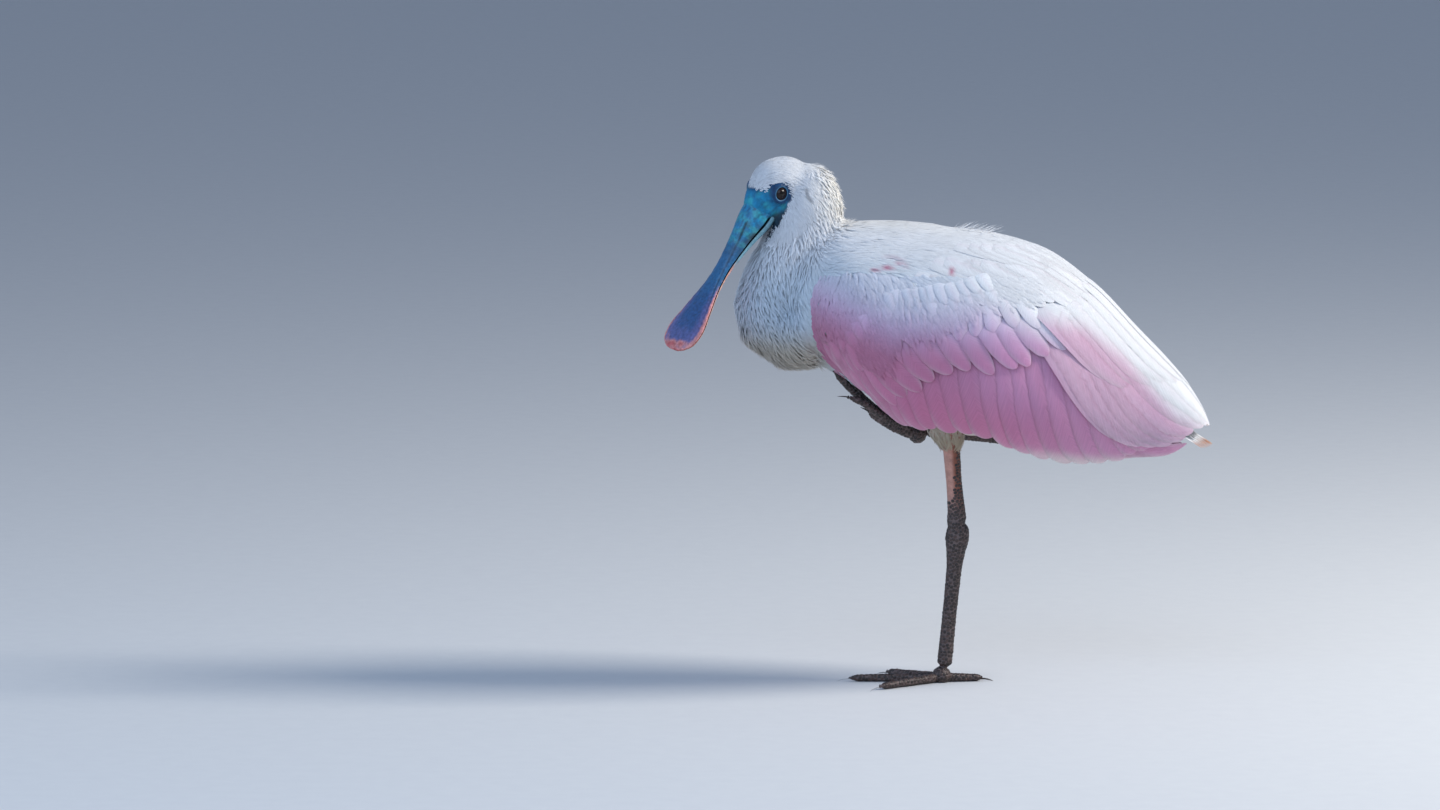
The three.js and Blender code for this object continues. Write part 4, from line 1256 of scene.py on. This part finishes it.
# The scapulars are long soft white feathers from the shoulder over the top of the folded wing, and the
# tertials, broad and pale, close the back of it over the tail. Each row: count, half width, height at
# the middle and at the tip in mm, outline, roots and tips.
SHOULDER_ROWS = [
    (
        10, 12, 0.2, 0.0, "long",
        [(70, 66), (96, 44), (100, 26), (102, -6)],
        [(160, 120), (186, 124), (212, 112), (227, 72), (228, -4)],
    ),
    (
        8, 12, 0.8, 0.4, "long",
        [(60, 50), (84, 30), (84, -2)],
        [(138, 84), (172, 72), (198, 46), (214, -6)],
    ),
    (
        11, 10, -0.1, -0.1, "covert",
        [(-46, 48), (0, 44), (50, 36), (70, 20)],
        [(6, 60), (48, 60), (96, 54), (128, 40)],
    ),
    (
        11, 10, 0.0, 0.0, "covert",
        [(-30, 34), (20, 28), (64, 10)],
        [(24, 50), (70, 48), (116, 40), (150, 8)],
    ),
    (
        10, 10, 0.15, 0.2, "covert",
        [(-10, 20), (30, 14), (58, 2)],
        [(50, 36), (90, 30), (130, 14), (146, -4)],
    ),
]
# One more tertial closes the gap between the wings, along the middle of the back.
MIDDLE_FEATHER = (1, 12, 0.3, 0.2, "long", [(92, 1), (92, -1)], [(228, 1), (228, -1)])


def shoulder_markings(points):
    """White, with a pink blush low on the tertials and along the fold."""
    x, z = points[:, 0] / MM, points[:, 2] / MM
    low = np.interp(x, [60, 120, 155, 180, 200, 230], [334, 320, 292, 262, 240, 224]) - z
    return with_rose(mix(all_over(WHITE, points), PINK, 0.75 * fade(low, -2, 20)), points)


# Softer, flatter and thinner than the wing's feathers.
soft = {"bend": 0.25, "arch": 0.02, "half": 0.07, "markings": shoulder_markings}
rows = [wing_tier(side, *row, tilt=0.035, stray=0.06, **soft) for side in (-1, 1) for row in SHOULDER_ROWS]
rows.append(wing_tier(-1, *MIDDLE_FEATHER, tilt=0.0, **soft))
scapulars = coat_piece("scapulars_and_tertials", rows, wing_keratin)


# The tail is short and straight: twelve feathers fanned a little from a stump, white at the root and
# worn tawny at the tips, which just show behind the wings. Three rows of white coverts lie over its root.
TAIL_ROOT = np.array([0.146, 0, 0.258])
TAIL_TIP = np.array([0.232, 0, 0.205])
TAIL_SPREAD = 9
TAWNY = srgb("#a8683c")
TAIL_LENGTH = np.linalg.norm(TAIL_TIP - TAIL_ROOT)
# The rows of coverts, from the lowest up: how many, how long as a share of the tail, how high in metres.
TAIL_COVERTS = [(11, 0.84, 0.006), (10, 0.78, 0.011), (9, 0.73, 0.017)]
TAIL_COUNT = 12
# How much lower than the middle the outermost feathers lie, in mm.
TAIL_STACK = 6.325
tail_ahead = (TAIL_TIP - TAIL_ROOT) / TAIL_LENGTH
tail_out = np.array([-tail_ahead[2], 0, tail_ahead[0]])


def tail_colour(points, way, beside, which):
    """White, then tawny, darker at the very tip."""
    base = mix(all_over(WHITE, points), TAWNY, fade(way, 0.7, 0.84))
    return mix(base, TAWNY * 0.35, fade(way, 0.93, 1.0) * 0.7)


def covert_colour(points, way, beside, which):
    """White all over."""
    return all_over(WHITE, points)


def tail_row(across, fan, apart, length, height, width, colour, **make):
    """A row of feathers across the tail, each at its share of half the tail's width, from -1 to 1. fan
    is how far the outer ones turn out in degrees, apart how far out their roots are in metres."""
    turn = np.radians(fan * across)[:, None]
    ahead = tail_ahead * np.cos(turn) + np.array([0, 1, 0]) * np.sin(turn)
    roots = TAIL_ROOT + np.c_[0 * across, across * apart, 0 * across]
    lines = roots[:, None] + ahead[:, None] * (length * VANE_STEPS[:, None])
    outs = np.broadcast_to(tail_out, lines.shape)
    count = len(across)
    outline = np.tile(outline_of("covert", VANE_STEPS), (count, 1))
    bake = np.stack([0.3 + 0.02 * across, np.full(count, 0.64)], -1)
    return vanes(lines, outs, np.full(count, width * MM), outline, height, colour, bake, **make)


rows = []
for count, share, over in TAIL_COVERTS:
    across = np.linspace(-1, 1, count)
    fan, length = TAIL_SPREAD * 0.85, TAIL_LENGTH * share
    height = over - 0.004 * across[:, None] ** 2 - 0.006 * VANE_STEPS**2
    rows.append(tail_row(across, fan, 0.005, length, height, 7, covert_colour, roll=0.04, fray=0.15))
across = np.linspace(-1, 1, TAIL_COUNT)
length = TAIL_LENGTH * (1 - 0.06 * across**2)[:, None, None]
height = np.repeat(-TAIL_STACK * np.abs(across)[:, None] * MM, VANE_RINGS, 1)
make = {"half": 0.25, "columns": VANE_COLUMNS, "fray": 0.1}
rows.append(tail_row(across, TAIL_SPREAD, 0.004, length, height, 6, tail_colour, **make))
tail = coat_piece("tail_feathers", rows, wing_keratin)
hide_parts("tail")


# The bill is horn over bone in two halves that meet along the line of the mouth: high and narrow at the
# face, thin and flat where it widens into the spoon. It has a satin gloss and is flecked and finely pitted.
BILL_RINGS = 150
BILL_SIDES = 96
# How high up its sections each half is widest, as a share.
BILL_WAISTS = {"upper": 0.13, "lower": 0.87}
# Its sections from the face to the tip, in the head's frame in mm: [x, top, bottom, half width].
BILL_UPPER = [
    (-8, 12, -7, 13),
    (-26, 11, -6.5, 14),
    (-45, 7.5, -4.5, 11.5),
    (-65, 4.5, -3.2, 9.2),
    (-82, 3, -2.6, 8.8),
    (-100, 2.2, -2.3, 12),
    (-120, 1.6, -2.3, 18.5),
    (-138, 1.2, -2.3, 23.8),
    (-150, 0.8, -2.3, 21.5),
    (-157, 0, -2.2, 13),
    (-159.5, -1.2, -1.2, 0),
]
BILL_LOWER = [
    (-3, -9.5, -16, 8),
    (-12, -7.6, -20, 11.5),
    (-26, -7.1, -18, 12.5),
    (-45, -5.1, -13, 10),
    (-65, -3.8, -9.5, 8.2),
    (-82, -3.2, -7.5, 8),
    (-100, -2.9, -6.3, 11.3),
    (-120, -2.9, -5.8, 17.8),
    (-138, -2.9, -5.6, 23),
    (-150, -2.9, -5.4, 20.8),
    (-156.5, -2.9, -5, 12.5),
    (-158.7, -3.9, -3.9, 0),
]
# The slit of the nostril, and the groove that runs on from it along the edge of the spoon: x, share of
# the half width, depth in mm.
NOSTRIL_SLIT = [(-34, 0.55, 0.0), (-37, 0.56, 1.5), (-46, 0.62, 1.5), (-52, 0.66, 0.6)]
NOSTRIL_SLIT += [(-80, 0.78, 0.45), (-130, 0.84, 0.35), (-152, 0.8, 0.0)]
TURQUOISE = srgb("#248ca6")
SEA_GREEN = srgb("#3b9ba0")
BILL_BLUE = srgb("#21628f")
SLATE_BLUE = srgb("#285488")
VIOLET = srgb("#6c679c")
BILL_PINK = srgb("#d98d88")
BILL_RED = srgb("#b3474d")
BILL_CREAM = srgb("#dcb59c")
# Painted shade for the mouth line and the nostril's groove.
MOUTH_AND_GROOVE_SHADE = srgb("#101820")


def upper_bill_colour(local, across):
    """Turquoise at the face, then blue, slate and violet in the spoon, with a pink rim and a red tip."""
    u = -local[:, 0] + 3 * bumpy(local, 9, 1)
    rim = across + 0.05 * bumpy(local, 5, 2)
    edge = rim - np.interp(u, [80, 128], [0.2, 0.0])
    colour = mix(face_colour(local), SEA_GREEN, 0.6 * fade(bumpy(local, 11, 3), 0.1, 0.9) * fade(u, 24, 36))
    colour = mix(colour, BILL_BLUE, fade(u, 40, 72))
    colour = mix(colour, SLATE_BLUE, fade(u, 86, 120))
    colour = mix(colour, BILL_BLUE * 0.55, 0.5 * fade(bumpy(local, 6, 4), 0.2, 0.9) * fade(u, 60, 30))
    colour = mix(colour, BILL_BLUE * 0.5, 0.45 * fade(bumpy(local, 3.5, 5), 0.2, 0.9) * fade(u, 80, 110))
    colour = mix(colour, VIOLET, 0.85 * fade(rim, 0.42, 0.8) * fade(u, 88, 128))
    colour = mix(colour, VIOLET, 0.6 * fade(u, 128, 150))
    colour = mix(colour, BILL_PINK, fade(edge, 0.8, 0.93) * fade(u, 72, 104))
    colour = mix(colour, BILL_PINK, fade(u, 147, 156))
    return mix(colour, BILL_RED, 0.85 * fade(u, 152, 160))


def lower_bill_colour(local, across):
    """Pale turquoise at the face, turning pink with a cream edge along the spoon."""
    u = -local[:, 0] + 3 * bumpy(local, 8, 6)
    colour = mix(mix(all_over(TURQUOISE, local), SEA_GREEN, 0.3), WHITE, 0.22)
    colour = mix(colour, GAPE_DARK, 0.85 * fade(-local[:, 2], 11, 14.5) * fade(u, 52, 34))
    colour = mix(colour, BILL_PINK, fade(u, 58, 84))
    colour = mix(colour, BILL_CREAM, 0.7 * fade(across, 0.86, 1.0) * fade(u, 60, 90))
    colour = mix(colour, VIOLET, 0.45 * fade(across, 0.7, 0.3) * fade(u, 90, 120))
    return mix(colour, BILL_RED, 0.7 * fade(u, 150, 159))


def bill_half(name, rows, colours):
    """One half of the bill, smooth and fine, with its grooves pressed in, and painted shade along the mouth
    line and in the upper half's nostril groove.
    """
    surface = sectioned(rows, BILL_WAISTS[name])
    half = rounded_form(f"bill_{name}_horn", surface, rows[0][0], rows[-1][0], BILL_RINGS, BILL_SIDES)
    smooth(half.data)
    local = coordinates(half.data) / MM
    width = np.maximum(-surface(local[:, 0], np.full(len(local), np.pi / 2))[:, 1], 0.5)
    across = np.clip(np.abs(local[:, 1]) / width, 0, 1)
    tint = colours(local, across)
    stations = [-n[0] for n in NOSTRIL_SLIT]
    line, deep = [np.interp(-local[:, 0], stations, [n[i] for n in NOSTRIL_SLIT]) for i in (1, 2)]
    onto = np.exp(-(((across - line) * width / 0.8) ** 2)) * fade(local[:, 2], -1.5, 0.0)[:, 0]
    press = deep * onto + 0.12 * bumpy(local, 4, 8) * fade(-local[:, 0], 20, 60)[:, 0]
    # The nostril's groove gets painted shade as deep as it is pressed.
    if name == "upper":
        tint = mix(tint, MOUTH_AND_GROOVE_SHADE, (onto * np.clip(deep, 0, 0.9))[:, None])
    outs = normals_of(half.data)
    # Painted shade on the faces where the two halves meet along the mouth, short of the tip.
    seam = fade(outs[:, 2] * (1 if name == "lower" else -1), 0.8, 0.97)
    tint = mix(tint, MOUTH_AND_GROOVE_SHADE, seam * fade(-local[:, 0], 146, 130))
    shaped = local - outs * press[:, None]
    place_vertices(half.data, from_head(shaped))
    paint(half, np.clip(tint, 0, 1))
    half.data.materials.append(horn)
    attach(half, "root")
    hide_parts(f"bill_{name}")


# Horn with a satin gloss. Its flecks are about 2.4 mm across with finer ones in them, its pits 0.9 mm,
# drawn about twice as coarse as the real ones, to show.
HORN_FLECKS = 420.0
HORN_PITS = 1100.0
horn, tree, shader = finish_of("bill_horn", Roughness=0.36, IOR=1.54)
place = add_node(tree, "ShaderNodeTexCoord").outputs["Object"]
flecks = add_node(tree, "ShaderNodeTexNoise", {"Vector": place, "Scale": HORN_FLECKS, "Detail": 5.0})
flecked(tree, shader, flecks, 0.32, 0.68, 0.7, 1.2)
pits = add_node(tree, "ShaderNodeTexVoronoi", {"Vector": place, "Scale": HORN_PITS})
scuffs = {"Height": flecks.outputs["Fac"], "Strength": 0.5, "Distance": 0.0004}
bump = add_node(tree, "ShaderNodeBump", scuffs)
pitting = {"Height": pits.outputs["Distance"], "Strength": 0.3, "Distance": 0.0002}
fine = add_node(tree, "ShaderNodeBump", {**pitting, "Normal": bump.outputs[0]})
tree.links.new(fine.outputs[0], shader.inputs["Normal"])
bill_half("upper", BILL_UPPER, upper_bill_colour)
bill_half("lower", BILL_LOWER, lower_bill_colour)


# The eyes are wet dark balls, deep brown round a black pupil, and each lies in a ring of bare lid that is
# wrinkled outside, with a paler painted highlight along its very edge where it catches the light. Sizes are
# in the head's frame, in mm, but PUPIL is an angle from the eye's middle.
EYE_OUT = 15.6
EYE_UP = 1.0
EYE_RADIUS = 6.8
PUPIL = 0.36
IRIS_BROWN = srgb("#1f0f0a")
PUPIL_BLACK = srgb("#050404")
LID_EDGE_HIGHLIGHT = srgb("#4c7f9d")
# A lid from the eye outwards: distance from the eye's middle, height out of the head, and how much the
# face's own surface takes over.
LID_PROFILE = [
    (4.8, 19.2, 0),
    (5.2, 20.3, 0),
    (5.8, 21.0, 0),
    (6.5, 21.1, 0),
    (7.3, 20.6, 0),
    (7.9, 20.7, 0.15),
    (8.7, 20.6, 0.4),
    (9.6, 20.0, 0.75),
    (10.7, 19.0, 1.0),
    (12.0, 18.0, 1.0),
]
# How far the lid stands over the face, how far its outermost ring is sunk in it, and how thick it is.
LID_STANDS = 0.15
LID_SINK = 0.9
LID_THICKNESS = 1.4
# How far out of the head the search for the face's surface starts.
OUTSIDE = 40
skin_tree = BVHTree.FromPolygons(skin_places.tolist(), [tuple(p.vertices) for p in flesh.data.polygons])


def lid_points(side):
    """The lid's rings round one eye, in the head's frame."""
    turn = np.linspace(0, 2 * np.pi, 72, endpoint=False)
    way = Vector(head_turn @ (0, -side, 0))
    rings = []
    for step, (far, out, face) in enumerate(LID_PROFILE):
        fold = (step > 3) * (0.12 * np.sin(turn * 19 + 1.3 * step) + 0.18 * np.sin(turn * 5 + step))
        x, z = far * np.cos(turn) * (1 + 0.04 * (far > 6)), EYE_UP + far * np.sin(turn) * 0.97
        heights = []
        for i in range(len(turn)):
            start = from_head(np.array([x[i], side * OUTSIDE, z[i]]))
            hit = skin_tree.ray_cast(start.tolist(), way)[3]
            heights.append(OUTSIDE - hit / MM if hit else 15)
        sink = LID_SINK if step == len(LID_PROFILE) - 1 else -LID_STANDS
        level = out + (np.array(heights) - sink - out) * face
        rings.append(np.stack([x, side * (level + fold), z], -1))
    return np.array(rings)


def lid_mesh(name, side):
    """A closed ring of lid, whose back is its front moved into the head."""
    rings = lid_points(side)
    count, loop, _ = rings.shape
    back = rings[::-1] - (0, side * LID_THICKNESS, 0)
    points = np.concatenate([rings, back[1:-1]]).reshape(-1, 3)
    rows = count * 2 - 2
    ring, turn = np.meshgrid(np.arange(rows), np.arange(loop), indexing="ij")
    here, beside = ring * loop + turn, ring * loop + (turn + 1) % loop
    ahead = ((ring + 1) % rows) * loop
    quads = np.stack([here, ahead + turn, ahead + (turn + 1) % loop, beside], -1).reshape(-1, 4)
    mesh = bpy.data.meshes.new(name)
    mesh.from_pydata(from_head(points).tolist(), [], quads.tolist())
    lid = bpy.data.objects.new(name, mesh)
    bpy.context.scene.collection.objects.link(lid)
    apply_modifier(lid, "SUBSURF", levels=1, render_levels=1)
    turn_outwards(lid)
    smooth(lid.data)
    local = in_head(coordinates(lid.data))
    far = np.hypot(local[:, 0], local[:, 2] - EYE_UP)
    tint = face_colour(local)
    # A painted highlight: a paler blue ring along the lid's edge, where it catches the light.
    tint = mix(tint, LID_EDGE_HIGHLIGHT, 0.7 * fade(far, 6.5, 6.2) * fade(far, 5.6, 5.9))
    tint = mix(tint, PUPIL_BLACK, fade(far, 5.6, 5.2))
    paint(lid, tint)
    lid.data.materials.append(bird_skin)
    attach(lid, "root")


# Wet eye: a very smooth clear coat over dark brown, with the iris's streaks at about 0.7 mm.
IRIS_STREAKS = 1500.0
wet_eye, tree, shader = finish_of("wet_eye", Roughness=0.3, IOR=1.38, Coat_Weight=0.5, Coat_Roughness=0.02)
shader.inputs["Specular IOR Level"].default_value = 0.15
place = add_node(tree, "ShaderNodeTexCoord").outputs["Object"]
streaks = add_node(tree, "ShaderNodeTexNoise", {"Vector": place, "Scale": IRIS_STREAKS, "Detail": 3.0})
flecked(tree, shader, streaks, 0.3, 0.7, 0.7, 1.3)
for name, side in (("left", -1), ("right", 1)):
    bpy.ops.mesh.primitive_uv_sphere_add(segments=64, ring_count=48, radius=EYE_RADIUS)
    ball = bpy.context.object
    ball.name = f"eye_{name}_ball"
    local = coordinates(ball.data)
    off = np.arccos(np.clip(local[:, 1] * side / EYE_RADIUS, -1, 1))
    bulge = 1 + 0.05 * fade(off, 0.75, 0.35)
    local = local * bulge + (0, side * EYE_OUT, EYE_UP)
    place_vertices(ball.data, from_head(local))
    smooth(ball.data)
    iris = all_over(IRIS_BROWN, local)
    paint(ball, mix(iris, PUPIL_BLACK, fade(off, PUPIL + 0.06, PUPIL)))
    ball.data.materials.append(wet_eye)
    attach(ball, "root")
    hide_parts(f"eye_{name}")
    lid_mesh(f"lid_{name}", side)


# The legs' scales are small many-sided plates of dark horn with pale skin between them. Each fills the
# cell that its neighbours leave. The front of the standing leg's upper part is bare of them. Sizes are in
# mm: the widest a scale's corner may reach, the height of its top and of its sunk edge over the skin.
SCALE_SIDES = 8
SCALE_SPACING = 2.1
SCALE_GAP = 0.1
SCALE_RISE = 0.17
SCALE_EDGE = -0.16
SCALE_WIDEST = 1.7
SCALE_BROWN = srgb("#231915")
SCALE_UMBER = srgb("#4a3630")


def on_scales(points):
    """Where the legs have scales: low down all round, and up the back of the standing leg."""
    x, y, z = (points / MM).T
    smooth_skin = (y < 0) & (z > 158) & (z > 172 + behind_shin(x, z) * 6) & (x > -10)
    drawn_up = (x < -10) & (z < 300)
    return ~smooth_skin & (z < np.where(y < 0, 206, 230)) | drawn_up


def plates(places, outs):
    """Domed plates on the legs, as a batch like the feathers'."""
    count = len(places)
    tree = tree_of(places)
    sideways = np.cross(outs, (0.31, 0.17, 0.93))
    sideways /= np.linalg.norm(sideways, axis=1, keepdims=True)
    along = np.cross(outs, sideways)
    turn = np.linspace(0, 2 * np.pi, SCALE_SIDES, endpoint=False)
    ways = sideways[:, None] * np.cos(turn)[:, None] + along[:, None] * np.sin(turn)[:, None]
    reach = np.full((count, SCALE_SIDES), SCALE_WIDEST * MM)
    for i, place in enumerate(places.tolist()):
        for near, j, gap in tree.find_n(place, 9):
            if j != i:
                apart = np.array(near) - places[i]
                facing = ways[i] @ apart
                limit = gap**2 / 2 / np.maximum(facing, 1e-9) - SCALE_GAP * MM / 2
                reach[i] = np.minimum(reach[i], np.where(facing > 0, limit, reach[i]))
    reach = np.maximum(reach, 0.3 * MM)[..., None]
    up = outs[:, None] * MM
    edge = places[:, None] + ways * reach + up * SCALE_EDGE
    shoulder = places[:, None] + ways * reach * 0.88 + up * SCALE_RISE * 0.8
    middle = places[:, None] + up * SCALE_RISE * 1.25
    under = places[:, None] + up * SCALE_EDGE
    points = np.concatenate([under, edge, shoulder, middle], 1)
    points[..., 2] = np.maximum(points[..., 2], 0.2 * MM)
    quads, fans = faces_of_vane(4, SCALE_SIDES)
    fresh = draw.random((count, 1, 1)) ** 2
    tone = mix(SCALE_BROWN, SCALE_UMBER, fresh)
    worn = np.concatenate([[1.0], np.full(SCALE_SIDES, 1.25), np.full(SCALE_SIDES, 1.1), [0.9]])
    x, y, z = (places / MM).T
    spot = np.stack([0.04 + 0.25 * (np.arctan2(y, x) / 6.3 + 0.5), 0.04 + 0.5 * z / 240], -1)
    round_it = np.c_[np.cos(turn), np.sin(turn)]
    patch = np.concatenate([[[0, 0]], round_it, round_it * 0.6, [[0, 0]]])
    return {
        "points": points,
        "quads": quads,
        "fans": fans,
        "vane": patch * 0.5 + 0.5,
        "bake": spot[:, None] + patch * BAKE_PATCH / 2,
        "tint": tone * worn[:, None],
        "rim": np.array([False] + [True] * SCALE_SIDES + [False] * (SCALE_SIDES + 1)),
    }


# Leg horn is hard, dry and a little waxy, with wear of about 1.4 mm and finer across each scale.
HORN_WEAR = 700.0
leg_horn, tree, shader = finish_of("leg_scale_horn", Roughness=0.42, IOR=1.54)
place = add_node(tree, "ShaderNodeTexCoord").outputs["Object"]
wear = add_node(tree, "ShaderNodeTexNoise", {"Vector": place, "Scale": HORN_WEAR, "Detail": 4.0})
flecked(tree, shader, wear, 0.35, 0.7, 0.7, 1.35)
scuffs = {"Height": wear.outputs["Fac"], "Strength": 0.4, "Distance": 0.0003}
bump = add_node(tree, "ShaderNodeBump", scuffs)
tree.links.new(bump.outputs[0], shader.inputs["Normal"])
places, outs = scattered(SCALE_SPACING, on_scales, leg_form)
scales = coat_piece("leg_scales", [plates(places, outs)], leg_horn)


# The claws are short curved cones of black horn, one on each toe, grained along their length. Each is
# shaped over the CAD claw that it replaces: how much its middle arches, and what share is sunk in the toe.
CLAW_CURVE = 1.2
CLAW_SUNK = 0.35
claw_horn, tree, shader = finish_of("claw_horn", Roughness=0.3, IOR=1.54)
place = add_node(tree, "ShaderNodeTexCoord").outputs["Object"]
# Strands about 8 mm long and 1.1 mm wide.
grain = add_node(tree, "ShaderNodeMapping", {"Vector": place, "Scale": (120.0, 900.0, 900.0)})
strands = add_node(tree, "ShaderNodeTexNoise", {"Vector": grain.outputs[0], "Scale": 1.0, "Detail": 3.0})
ramp = add_node(tree, "ShaderNodeValToRGB", {"Fac": strands.outputs["Fac"]})
ramp.color_ramp.elements[0].color = (*srgb("#0d0b0a"), 1)
ramp.color_ramp.elements[1].color = (*srgb("#3a302b"), 1)
tree.links.new(ramp.outputs["Color"], shader.inputs["Base Color"])
ridges = {"Height": strands.outputs["Fac"], "Strength": 0.3, "Distance": 0.0002}
bump = add_node(tree, "ShaderNodeBump", ridges)
tree.links.new(bump.outputs[0], shader.inputs["Normal"])
for name in [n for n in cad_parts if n.startswith("claw_")]:
    local = coordinates(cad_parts[name].data)
    middle = local.mean(0)
    tip = local[np.argmax(np.linalg.norm(local - middle, axis=1))]
    far = np.linalg.norm(local - tip, axis=1)
    base_ring = local[far > 0.94 * far.max()]
    base = base_ring.mean(0)
    radius = np.linalg.norm(base_ring - base, axis=1).max()
    bend = middle + (middle - (base * 2 + tip) / 3) * CLAW_CURVE
    bpy.ops.mesh.primitive_uv_sphere_add(segments=20, ring_count=18, radius=1)
    claw = bpy.context.object
    claw.name = f"{name}_horn"
    ball = coordinates(claw.data)
    t = np.arccos(np.clip(-ball[:, 2], -1, 1))[:, None] / np.pi
    step = t * (1 + CLAW_SUNK) - CLAW_SUNK
    spine = base * (1 - step) ** 2 + bend * 2 * step * (1 - step) + tip * step**2
    ahead = (tip - base) / np.linalg.norm(tip - base)
    aside = np.cross(ahead, (0, 0, 1.0))
    aside /= np.linalg.norm(aside)
    above = np.cross(aside, ahead)
    thick = radius * 1.04 * np.sqrt(np.clip(1 - np.clip(step, 0, 1) ** 1.3, 0, 1))
    thick *= np.clip(np.sin(np.pi * np.clip(t, 0, 0.5)) * 4, 0, 1)
    turn = np.arctan2(ball[:, 1], ball[:, 0])[:, None]
    place_vertices(claw.data, spine + (aside * np.cos(turn) + above * np.sin(turn)) * thick)
    turn_outwards(claw)
    smooth(claw.data)
    claw.data.materials.append(claw_horn)
    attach(claw, "root")
    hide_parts(name)


# The guide has done its work.
bpy.data.objects.remove(guide)
